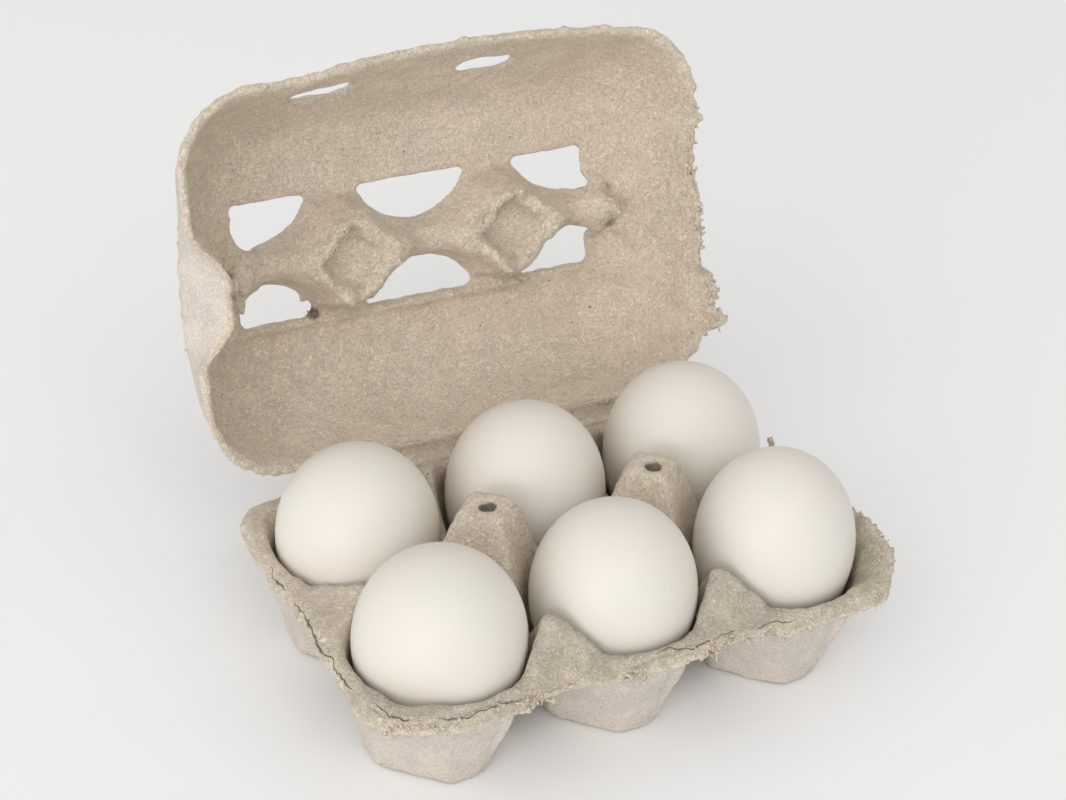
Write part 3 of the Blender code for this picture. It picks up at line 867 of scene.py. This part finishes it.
class Finish:
    """A material and the nodes that are added to it."""

    def __init__(self, name):
        self.material = bpy.data.materials.new(name)
        self.material.use_nodes = True
        self.tree = self.material.node_tree
        self.shader = self.tree.nodes["Principled BSDF"]
        coordinates = self.node("ShaderNodeTexCoord", {}, {}, "Object")
        scaled = {0: coordinates, "Scale": 1000.0}
        self.place = self.node("ShaderNodeVectorMath", {"operation": "SCALE"}, scaled)

    def node(self, kind, settings, sockets, output=0):
        """Adds a node: its settings first, then its sockets' values or links."""
        made = self.tree.nodes.new(kind)
        for key, value in settings.items():
            if key == "stops":
                ramp = made.color_ramp.elements
                while len(ramp) < len(value):
                    ramp.new(1.0)
                for element, (position, colour) in zip(ramp, value):
                    element.position = position
                    element.color = colour
            else:
                setattr(made, key, value)
        for key, value in sockets.items():
            self.feed(made.inputs[key], value)
        return Wire(self, made.outputs[output])

    def feed(self, socket, value):
        if isinstance(value, Wire):
            self.tree.links.new(value.socket, socket)
        elif isinstance(value, (tuple, list)) and len(value) == 3 and socket.type == "RGBA":
            socket.default_value = (*value, 1.0)
        else:
            socket.default_value = value

    def set(self, **values):
        """Sets the shader's own sockets; an underscore in a name is a space."""
        for key, value in values.items():
            self.feed(self.shader.inputs[key.replace("_", " ")], value)

    def noise(self, size, detail=2.0, roughness=0.5, distortion=0.0, place=None):
        """Cloudy noise from 0 to 1 with features of about this many millimetres."""
        sockets = {"Vector": place or self.place, "Scale": 1.0 / size, "Detail": detail}
        sockets.update({"Roughness": roughness, "Distortion": distortion})
        return self.node("ShaderNodeTexNoise", {}, sockets, "Fac")

    def cells(self, size, output="Distance", feature="F1", place=None):
        sockets = {"Vector": place or self.place, "Scale": 1.0 / size}
        return self.node("ShaderNodeTexVoronoi", {"feature": feature}, sockets, output)

    def mix(self, share, low, high, blend="MIX"):
        """A colour between two colours."""
        settings = {"data_type": "RGBA", "blend_type": blend, "clamp_factor": True}
        sockets = {"Factor": share}
        sockets.update({6: low, 7: high})
        return self.node("ShaderNodeMix", settings, sockets, 2)

    def attribute(self, name):
        return self.node("ShaderNodeAttribute", {"attribute_name": name}, {}, "Fac")

    def split(self, wire, channel):
        return self.node("ShaderNodeSeparateColor", {}, {"Color": wire}, channel)

    def stretched(self, scale):
        sockets = {0: self.place, 1: scale}
        return self.node("ShaderNodeVectorMath", {"operation": "MULTIPLY"}, sockets)

    def relief(self, height, depth, strength=1.0):
        """Bump whose height of 1 is this many millimetres."""
        sockets = {"Height": height, "Distance": depth / 1000, "Strength": strength}
        self.set(Normal=self.node("ShaderNodeBump", {}, sockets, "Normal"))


def speck_mask(finish, size, radius, share, edge):
    """Small spots with uneven edges in some of the cells of a scattered grid."""
    distance = finish.cells(size)
    chance = finish.split(Wire(finish, distance.socket.node.outputs["Color"]), "Red")
    return (distance + (edge - 0.5) * 0.06).step(radius, radius * 0.6) * (chance > 1.0 - share)


def pulp_material(name, colours):
    """Moulded paper pulp: matted fibres, cloudy tint, dark and pale specks."""
    finish = Finish(name)
    torn = finish.attribute("torn")
    dirt = finish.attribute("dirt")
    outside = finish.attribute("outside")
    cloud = finish.noise(24.0, 1.0)
    patch = finish.noise(7.0, 3.0, 0.6)
    curls = finish.noise(2.1, 2.0, 0.62, 2.5)
    hairs = finish.noise(0.95, 1.0, 0.6, 1.6)
    grain = finish.noise(0.5, 1.0, 0.6)
    pits = finish.cells(1.1)
    # Thin winding ridges, as matted fibres leave
    curl = 1.0 - (curls - 0.5).magnitude().step(0.0, 0.09)
    hair = 1.0 - (hairs - 0.5).magnitude().step(0.0, 0.12)
    matted = 1.0 - outside * 0.75
    inner = finish.mix(cloud.step(0.35, 0.65), colours.pulp_grey[:], colours.pulp_pink[:])
    # The rim and outer fins take the greyer, darker rim tint: painted shade for these upward faces, more
    # towards the front
    inner = finish.mix(finish.attribute("rim"), inner, colours.pulp_rim_shade[:])
    colour = finish.mix(outside, inner, colours.pulp_outer[:])
    warmth = patch.step(0.45, 0.72, 0.0, 0.5) * (1.0 - outside * 0.75)
    colour = finish.mix(warmth, colour, colours.pulp_warm[:])
    # Dirt and painted shade from the attribute, broken up by the patches and grain, darken the colour below
    dirt = (dirt + (patch - 0.5) * 0.5 + (grain - 0.5) * 0.3).step(0.22, 0.75)
    colour = finish.mix(torn * 0.6, colour, colours.pulp_straw[:])
    colour = finish.mix((curl * 0.22 + hair * 0.20) * matted, colour, colours.pulp_straw[:])
    shade = patch.step(0.3, 0.7, 0.95, 1.04) * grain.step(0.3, 0.7, 0.94, 1.08)
    shade = shade * pits.step(0.0, 0.55, 1.03, 0.94) * (1.0 - dirt * 0.7)
    shade = shade * (curl + hair).step(0.0, 1.3, 0.94, 1.06)
    shade = shade * (1.0 - torn * hairs.step(0.52, 0.70, 0.0, 0.20))
    dark = speck_mask(finish, 4.6, 0.07, 0.30, grain)
    brown = speck_mask(finish, 2.7, 0.12, 0.12, grain)
    pale = speck_mask(finish, 1.9, 0.22, 0.25, grain)
    colour = finish.mix(1.0, colour, shade, "MULTIPLY")
    colour = finish.mix(pale * 0.3, colour, (0.80, 0.74, 0.66))
    colour = finish.mix(brown * 0.5, colour, (0.22, 0.14, 0.08))
    colour = finish.mix(dark * 0.8, colour, (0.05, 0.045, 0.045))
    finish.set(Base_Color=colour, Roughness=0.93, Specular_IOR_Level=0.2)
    crumbs = finish.noise(1.4, 2.0, 0.7)
    height = torn * crumbs * 1.5 + (curl * 0.30 + hair * 0.30) * matted
    height = height + grain * 0.42 + patch * 1.0 - pits * 0.5
    finish.relief(height + torn * curls * 0.8, 0.42)
    return finish.material


def shell_material(name, colours):
    """Hen's eggshell: off-white, satin, with pores and a faint bloom."""
    finish = Finish(name)
    cloud = finish.noise(15.0, 3.0)
    pores = finish.cells(0.7)
    fine = finish.noise(0.5, 2.0)
    colour = finish.mix(cloud.step(0.35, 0.7), colours.shell[:], colours.shell_warm[:])
    specks = speck_mask(finish, 7.0, 0.03, 0.25, fine)
    colour = finish.mix(specks * 0.55, colour, (0.30, 0.26, 0.22))
    rough = cloud.step(0.3, 0.7, 0.42, 0.52)
    finish.set(Base_Color=colour, Roughness=rough, Specular_IOR_Level=0.38)
    finish.relief(pores * 0.5 + fine * 0.4, 0.035)
    return finish.material


def plain_material(name, colour, roughness):
    finish = Finish(name)
    finish.set(Base_Color=tuple(colour), Roughness=roughness, Specular_IOR_Level=0.2)
    return finish.material


# --- Settings ------------------------------------------------------------------


class CartonSizes(bpy.types.PropertyGroup):
    tray_voxel: FloatProperty(
        name="Tray detail", description="Size of the tray's quads",
        default=0.00106, unit="LENGTH")
    lid_voxel: FloatProperty(
        name="Lid detail", description="Size of the lid's quads",
        default=0.00092, unit="LENGTH")
    plan_spacing: FloatProperty(
        name="Plan spacing", description="Distance between a sheet's plan points",
        default=0.0011, unit="LENGTH")
    relief: FloatProperty(
        name="Pulp relief", description="Height of the pulp's lumps",
        default=0.00022, unit="LENGTH")
    egg_fullness: FloatProperty(
        name="Egg fullness", description="How much wider an egg is above its middle",
        default=0.08)


class CartonColours(bpy.types.PropertyGroup):
    pulp_grey: FloatVectorProperty(
        name="Pulp, grey", description="Greyest tint of the pulp", subtype="COLOR",
        default=(0.830, 0.710, 0.580))
    pulp_pink: FloatVectorProperty(
        name="Pulp, pink", description="Pinkest tint of the pulp", subtype="COLOR",
        default=(0.865, 0.735, 0.615))
    pulp_outer: FloatVectorProperty(
        name="Pulp, outside", description="Tint of the mould's smooth side", subtype="COLOR",
        default=(0.655, 0.590, 0.530))
    # The rim's tint is painted shade: greyer and darker for the rim and fins, which face upward
    pulp_rim_shade: FloatVectorProperty(
        name="Pulp, rim", description="Greyer tint of the tray's rim and fins", subtype="COLOR",
        default=(0.590, 0.520, 0.430))
    pulp_warm: FloatVectorProperty(
        name="Pulp, warm", description="Warm tint in patches", subtype="COLOR",
        default=(0.860, 0.740, 0.580))
    pulp_straw: FloatVectorProperty(
        name="Pulp, torn", description="Straw tint of rough and torn pulp", subtype="COLOR",
        default=(0.900, 0.790, 0.620))
    shell: FloatVectorProperty(
        name="Shell", description="Colour of the eggshells", subtype="COLOR",
        default=(0.765, 0.727, 0.655))
    shell_warm: FloatVectorProperty(
        name="Shell, warm", description="Warm tint of the eggshells", subtype="COLOR",
        default=(0.775, 0.718, 0.645))
    floor: FloatVectorProperty(
        name="Floor", description="Colour of the floor", subtype="COLOR",
        default=(0.94, 0.94, 0.935))


class CartonStage(bpy.types.PropertyGroup):
    lens: FloatProperty(
        name="Lens", description="Camera's focal length", default=80.04, unit="CAMERA")
    distance: FloatProperty(
        name="Distance", description="From the camera to its aim", default=0.731, unit="LENGTH")
    azimuth: FloatProperty(
        name="Azimuth", description="Camera's turn round the carton",
        default=math.radians(-29.7), subtype="ANGLE")
    elevation: FloatProperty(
        name="Elevation", description="Camera's height as an angle",
        default=math.radians(32.0), subtype="ANGLE")
    roll: FloatProperty(
        name="Roll", description="Camera's turn about its own axis",
        default=math.radians(4.0), subtype="ANGLE")
    aim: FloatVectorProperty(
        name="Aim", description="Point at the middle of the picture", subtype="TRANSLATION",
        default=(0.0486, 0.0797, 0.0))
    low_light: FloatProperty(
        name="Low left light", description="Power of the low left light", min=0.0, default=15.0
    )
    left_light: FloatProperty(
        name="Left light", description="Power of the left light", min=0.0, default=10.5
    )
    high_light: FloatProperty(
        name="High front light", description="Power of the high front light", min=0.0, default=12.0
    )
    side_light: FloatProperty(
        name="High left light", description="Power of the high left light", min=0.0, default=7.0
    )
    sky: FloatProperty(
        name="Sky", description="Strength of the light from all round", default=0.70)


# --- Operators -----------------------------------------------------------------


class CARTON_OT_tray(bpy.types.Operator):
    """Builds the tray with its cups, posts, fins and torn rim"""

    bl_idname = "carton.tray"
    bl_label = "Tray"

    def execute(self, context):
        sizes = context.scene.carton_sizes
        outline, rings = tray_plan()
        spacing = sizes.plan_spacing * 1000
        shape = sheet(outline, [], rings, spacing, tray_upper, tray_lower)
        tags = (((-18.0, -50.2, 27.4), 8), ((-12.0, -50.4, 27.4), 7), ((27.0, -50.4, 27.6), 5),
                ((14.0, -50.5, 27.2), 4), ((66.0, -47.0, 29.5), 4), ((-74.0, -20.0, 27.5), 4))
        shape = with_blobs(shape, tags, (2.4, 0.5, 0.5), (0.5, 1.0), 9)
        crumbs = (((74.4, 18.2, 31.6), 6), ((74.2, 17.8, 33.6), 3), ((74.4, 13.4, 31.4), 3))
        shape = with_blobs(shape, crumbs, (0.5, 0.7, 0.9), (0.6, 1.1), 10)
        mesh = remeshed(*shape, sizes.tray_voxel * 1000)
        points = relax(mesh, vertex_array(mesh), 1)
        x, y, z = points.T
        depth = box_depth(x, y, (0.0, 0.0), RIM_HALF, RIM_CORNER)
        torn = (1.0 - smooth_step(0.8, 3.2, depth)) * 0.8
        torn = torn + 0.35 * smooth_step(0.1, 0.5, rough_noise(points, 14.0, 8))
        torn = torn + 0.5 * smooth_step(34.0, 46.0, z) * smooth_step(20.0, 30.0, depth)
        points = pulp_relief(mesh, points, torn, sizes.relief * 1000)
        # Painted shade in the pit on top of each post
        pit = np.hypot((np.abs(x) - PITCH / 2) / 1.3, y + 0.4)
        dirt = 0.95 * (1.0 - smooth_step(1.5, 2.4, pit)) * smooth_step(40.0, 44.0, z)
        outside = smooth_step(0.7, 1.5, tray_upper(x, y) - z)
        # Painted shadow in the crack between the rim's layers, and painted shade in broken patches just
        # under the rim's edge on the outside
        crack_shadow = rim_crack_and_shadow(x, y, depth)[1] * (1.0 - outside)
        under = bump(depth, 1.8, 1.0) * outside * smooth_step(0.0, 0.3, rough_noise(points, 6.0, 12))
        dirt = dirt + 0.5 * crack_shadow + 0.35 * under * smooth_step(22.0, 25.0, z)
        # Where the rim's greyer tint goes, as painted shade: the band near the tray's outer edge, more
        # towards the front
        rim = (1.0 - smooth_step(14.0, 24.0, depth)) * (0.45 + 0.55 * smooth_step(5.0, 25.0, -y))
        add_attribute(mesh, "torn", torn)
        add_attribute(mesh, "dirt", dirt)
        add_attribute(mesh, "outside", outside)
        add_attribute(mesh, "rim", rim)
        store(mesh, points)
        # Thin dark strips along the rim's edge: painted shadow under its upper layer
        for path, width, seed in RIM_CRACK_SHADOWS:
            add_crack_shadow(mesh, path + path[::-1], width, seed)
        front_edge = (depth < 1.2) * (z > 24.0) * (y < -40.0) * (rough_noise(points, 9.0, 33, 2) > 0.1)
        add_flakes(mesh, front_edge, 80, (0.4, 1.3), 17)
        tufts = (np.abs(x + 38.0) < 8.0) + (np.abs(x + 7.0) < 3.0) + (np.abs(x - 16.0) < 4.0)
        add_flakes(mesh, (depth < 1.2) * (z > 25.0) * (y < -48.0) * tufts, 46, (0.8, 1.9), 19)
        right_edge = (depth < 1.0) * (z > 27.0) * (x > 70.0) * (y < 0.0)
        add_flakes(mesh, right_edge, 30, (0.4, 1.0), 18)
        add_fibres(mesh, np.concatenate([torn, np.zeros(len(mesh.vertices) - len(torn))]), 800, 5, 3.0)
        store(mesh, tray_to_frame(vertex_array(mesh)))
        tray = add_object("pulp_tray", mesh, pulp_material("tray pulp", context.scene.carton_colours))
        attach(tray, "tray")
        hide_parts("tray")
        return {"FINISHED"}


class CARTON_OT_lid(bpy.types.Operator):
    """Builds the open lid with its windows, sockets, slots and torn edges"""

    bl_idname = "carton.lid"
    bl_label = "Lid"

    def execute(self, context):
        sizes = context.scene.carton_sizes
        outline, holes = lid_plan()
        spacing = sizes.plan_spacing * 1000
        shape = sheet(outline, holes, [], spacing, lid_outer, lid_inner)
        lumps = (((-56.5, 54.5, 17.2), 16), ((-57.0, 49.0, 17.2), 10), ((57.4, 52.8, 18.4), 12),
                 ((-33.2, 36.4, 27.6), 4))
        shape = with_blobs(shape, lumps, (1.9, 2.4, 1.0), (0.8, 1.7), 7)
        tags = (((74.6, 30.0, 1.0), 5), ((74.4, 25.0, 1.0), 4), ((75.5, 18.5, 1.0), 6),
                ((74.2, 77.0, 1.0), 3))
        shape = with_blobs(shape, tags, (0.7, 1.6, 0.8), (0.6, 1.1), 8)
        mesh = remeshed(*shape, sizes.lid_voxel * 1000)
        points = relax(mesh, vertex_array(mesh), 1)
        x, v, w = points.T
        rim = 1.0 - smooth_step(0.0, 3.5, w)
        end_rough = smooth_step(60.0, 66.0, x) * bump(v, 52.0, 26.0) * (1 - smooth_step(4.0, 18.0, w))
        lips = bump(w, SOCKET_LIP_W, 3.0) * (np.abs(v - SPINE_V) < 18)
        lumps = bump(np.abs(x), 56.0, 4.0) * bump(v, SPINE_V, 6.0)
        roll = bump(v, SPINE_V - WINDOW_REACH_V - 1.1, 2.2) * (np.abs(x) < 55) * smooth_step(22.0, 25.0, w)
        crumbly = smooth_step(21.0, 15.0, np.abs(np.abs(x) - PITCH / 2) + np.abs(v - SPINE_V))
        crumbly = crumbly * (1.0 - smooth_step(20.0, 24.0, w))
        torn = 0.6 * rim + 0.8 * end_rough + 0.6 * lips + 1.0 * lumps + 0.8 * roll + 0.5 * crumbly
        torn = np.clip(torn, 0.0, 1.3)
        torn = torn + 0.3 * smooth_step(0.1, 0.5, rough_noise(points, 14.0, 8))
        outside = smooth_step(0.6, 1.4, w - lid_inner(x, v))
        points = pulp_relief(mesh, points, torn, sizes.relief * 1000)
        # The inner layer of the right edge is torn away unevenly
        ply_edge = 3.6 + 3.0 * flat_noise(v, 0 * v, 9.0, 91, 3) + 1.2 * flat_noise(v, w, 1.8, 92, 2)
        ply = (1.0 - smooth_step(ply_edge - 0.3, ply_edge + 0.3, w)) * smooth_step(60.0, 66.0, x)
        ply = ply * smooth_step(24.0, 30.0, v) * (1.0 - smooth_step(80.0, 88.0, v)) * (1.0 - outside)
        points = points - vertex_array(mesh, "normal") * (0.6 * ply)[:, None]
        points = bend_lid(points)
        # Painted shade in the two hollows beside the right-hand lump, on the inside; the torn lumps are made
        # a little darker, and a stain and a small dark spot are added
        holes = sum(
            np.exp(-((x - 58.6) ** 2 + (v - SPINE_V - place) ** 2) / 3.5) for place in (-5.6, 5.8)
        )
        add_attribute(mesh, "torn", torn)
        stain = np.exp(-((x + 33.2) ** 2 + (v - 36.6) ** 2) / 5.0)
        dark_spot = 0.8 * np.exp(-((x - 52.5) ** 2 + (v - 22.0) ** 2) / 0.35)
        add_attribute(mesh, "dirt", 0.25 * lumps + 0.45 * holes * (1.0 - outside) + 0.9 * stain + dark_spot)
        add_attribute(mesh, "outside", outside)
        store(mesh, points)
        right_edge = (w < 1.8) * (x > 70.0) * (v > 16.0) * (v < 84.0)
        add_flakes(mesh, right_edge, 90, (0.5, 1.5), 15)
        window_edge = (torn > 0.45) * (w > 12.0) * (w < 27.0) * (np.abs(v - SPINE_V) < 20)
        add_flakes(mesh, window_edge, 90, (0.3, 0.9), 16)
        add_fibres(mesh, np.concatenate([torn, np.zeros(len(mesh.vertices) - len(torn))]), 950, 6)
        store(mesh, lid_to_frame(vertex_array(mesh)))
        lid = add_object("pulp_lid", mesh, pulp_material("lid pulp", context.scene.carton_colours))
        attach(lid, "lid")
        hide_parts("lid")
        return {"FINISHED"}


class CARTON_OT_fold(bpy.types.Operator):
    """Builds the fold of pulp that joins the lid to the tray"""

    bl_idname = "carton.fold"
    bl_label = "Fold"

    def execute(self, context):
        start = np.array([49.6, 28.6])
        end = np.array([HINGE_SPOT[1] - TRAY_MIDDLE[1] + 1.1, HINGE_SPOT[2] + 3.2])
        middle = np.array([end[0] + 0.4, start[1] + 0.9])
        share = np.linspace(0.0, 1.0, 9)[:, None]
        line = (1 - share) ** 2 * start + 2 * share * (1 - share) * middle + share**2 * end
        ahead = np.gradient(line, axis=0)
        normal = np.stack([ahead[:, 1], -ahead[:, 0]], axis=1)
        normal /= np.linalg.norm(normal, axis=1)[:, None]
        section = np.concatenate([line + normal * 0.75, (line - normal * 0.75)[::-1]])
        stations = np.arange(-50.0, 70.0, 1.0)
        count = len(section)
        points, faces = [], []
        for number, x in enumerate(stations):
            for y, z in section:
                points.append((x, y, z))
            if number:
                low = (number - 1) * count
                for step in range(count):
                    after = (step + 1) % count
                    faces.append((low + step, low + after, low + count + after, low + count + step))
        faces.append(tuple(range(count))[::-1])
        faces.append(tuple(range(len(points) - count, len(points))))
        points = np.array(points)
        jitter = np.stack([rough_noise(points, 4.0, seed) for seed in (51, 52, 53)], axis=1)
        points = points + 0.35 * jitter
        mesh = bpy.data.meshes.new("fold")
        mesh.from_pydata(tray_to_frame(points).tolist(), [], faces)
        mesh.update()
        add_attribute(mesh, "torn", np.full(len(points), 0.5))
        add_attribute(mesh, "dirt", np.zeros(len(points)))
        add_attribute(mesh, "outside", np.full(len(points), 0.3))
        # A little of the rim's painted shade tint on the fold
        add_attribute(mesh, "rim", np.full(len(points), 0.4))
        fold = add_object("pulp_fold", mesh, pulp_material("fold pulp", context.scene.carton_colours))
        near = tray_to_frame(np.array([[0.0, 49.9, 29.0]]))[0]
        far = tray_to_frame(np.array([[0.0, end[0], end[1] - 0.4]]))[0]
        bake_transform(fold, "tray", "lid", start=tuple(near), end=tuple(far))
        return {"FINISHED"}


class CARTON_OT_eggs(bpy.types.Operator):
    """Builds the eggs, blunt end up, one in every cup"""

    bl_idname = "carton.eggs"
    bl_label = "Eggs"

    def execute(self, context):
        fullness = context.scene.carton_sizes.egg_fullness
        shell = shell_material("eggshell", context.scene.carton_colours)
        for node in EGG_NODES:
            low, high = (np.array(corner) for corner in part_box(node))
            middle = (low + high) / 2
            radius = (high[1] - low[1]) / 2
            half_length = (high[2] - low[2]) / 2
            mesh = bpy.data.meshes.new(node)
            builder = bmesh.new()
            bmesh.ops.create_uvsphere(builder, u_segments=96, v_segments=64, radius=1.0)
            for vert in builder.verts:
                wide = radius * (1.0 + fullness * vert.co.z)
                vert.co = Vector((vert.co.x * wide, vert.co.y * wide, vert.co.z * half_length))
            builder.to_mesh(mesh)
            builder.free()
            store(mesh, vertex_array(mesh) + middle)
            egg = add_object("shell_" + node, mesh, shell)
            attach(egg, "tray")
            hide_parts(node)
        return {"FINISHED"}


class CARTON_OT_stage(bpy.types.Operator):
    """Builds the floor, the lights and the camera"""

    bl_idname = "carton.stage"
    bl_label = "Stage"

    def execute(self, context):
        stage = context.scene.carton_stage
        colours = context.scene.carton_colours
        mesh = bpy.data.meshes.new("floor")
        mesh.from_pydata([(-6, -6, 0), (6, -6, 0), (6, 6, 0), (-6, 6, 0)], [], [(0, 1, 2, 3)])
        floor = add_object("floor", mesh, plain_material("floor", colours.floor, 0.9))
        floor.location.z = -0.0003
        self.add_light("low left", (-2.55, -1.5, 0.55), (1.8, 1.2), stage.low_light)
        self.add_light("left", (-2.2, -2.0, 0.9), (1.8, 1.2), stage.left_light)
        self.add_light("high front", (-0.55, -1.9, 2.0), (1.8, 1.2), stage.high_light)
        self.add_light("high left", (-2.0, -0.8, 1.9), (1.8, 1.2), stage.side_light)
        context.scene.view_settings.view_transform = "Standard"
        world = bpy.data.worlds.new("sky")
        world.use_nodes = True
        background = world.node_tree.nodes["Background"]
        background.inputs["Color"].default_value = (1.0, 1.0, 1.0, 1.0)
        background.inputs["Strength"].default_value = stage.sky
        context.scene.world = world
        self.add_camera(context, stage)
        return {"FINISHED"}

    def add_light(self, name, place, size, power):
        lamp = bpy.data.lights.new(name, "AREA")
        lamp.shape = "RECTANGLE"
        lamp.size, lamp.size_y = size
        lamp.energy = power
        made = bpy.data.objects.new(name, lamp)
        made.location = place
        aim = Vector((0, 0, 0.05)) - Vector(place)
        made.rotation_euler = aim.to_track_quat("-Z", "Y").to_euler()
        bpy.context.collection.objects.link(made)

    def add_camera(self, context, stage):
        turn, rise, roll = stage.azimuth, stage.elevation, stage.roll
        back = Vector((math.cos(rise) * math.sin(turn), -math.cos(rise) * math.cos(turn), math.sin(rise)))
        right = Vector((math.cos(turn), math.sin(turn), 0.0))
        up = back.cross(right)
        tilted = right * math.cos(roll) + up * math.sin(roll)
        upright = up * math.cos(roll) - right * math.sin(roll)
        lens = bpy.data.cameras.new("camera")
        lens.lens = stage.lens
        lens.sensor_width = 36.0
        lens.clip_start = 0.01
        camera = bpy.data.objects.new("camera", lens)
        turned = Matrix((tilted, upright, back)).transposed().to_4x4()
        camera.matrix_world = Matrix.Translation(Vector(stage.aim) + back * stage.distance) @ turned
        bpy.context.collection.objects.link(camera)
        context.scene.camera = camera


class CARTON_PT_panel(bpy.types.Panel):
    bl_idname = "CARTON_PT_panel"
    bl_label = "Egg carton"
    bl_space_type = "VIEW_3D"
    bl_region_type = "UI"
    bl_category = "Egg carton"

    def draw(self, context):
        for operator in OPERATORS:
            self.layout.operator(operator.bl_idname)
        for group in (context.scene.carton_sizes, context.scene.carton_colours,
                      context.scene.carton_stage):
            column = self.layout.column()
            for key in group.__annotations__:
                column.prop(group, key)


GROUPS = (CartonSizes, CartonColours, CartonStage)
OPERATORS = (CARTON_OT_tray, CARTON_OT_lid, CARTON_OT_fold, CARTON_OT_eggs, CARTON_OT_stage)


def register():
    for each in GROUPS + OPERATORS + (CARTON_PT_panel,):
        bpy.utils.register_class(each)
    bpy.types.Scene.carton_sizes = PointerProperty(type=CartonSizes)
    bpy.types.Scene.carton_colours = PointerProperty(type=CartonColours)
    bpy.types.Scene.carton_stage = PointerProperty(type=CartonStage)


def unregister():
    del bpy.types.Scene.carton_sizes
    del bpy.types.Scene.carton_colours
    del bpy.types.Scene.carton_stage
    for each in reversed(GROUPS + OPERATORS + (CARTON_PT_panel,)):
        bpy.utils.unregister_class(each)


def main():
    register()
    for name in ("tray", "lid", "fold", "eggs", "stage"):
        getattr(bpy.ops.carton, name)()


if __name__ == "__main__":
    main()
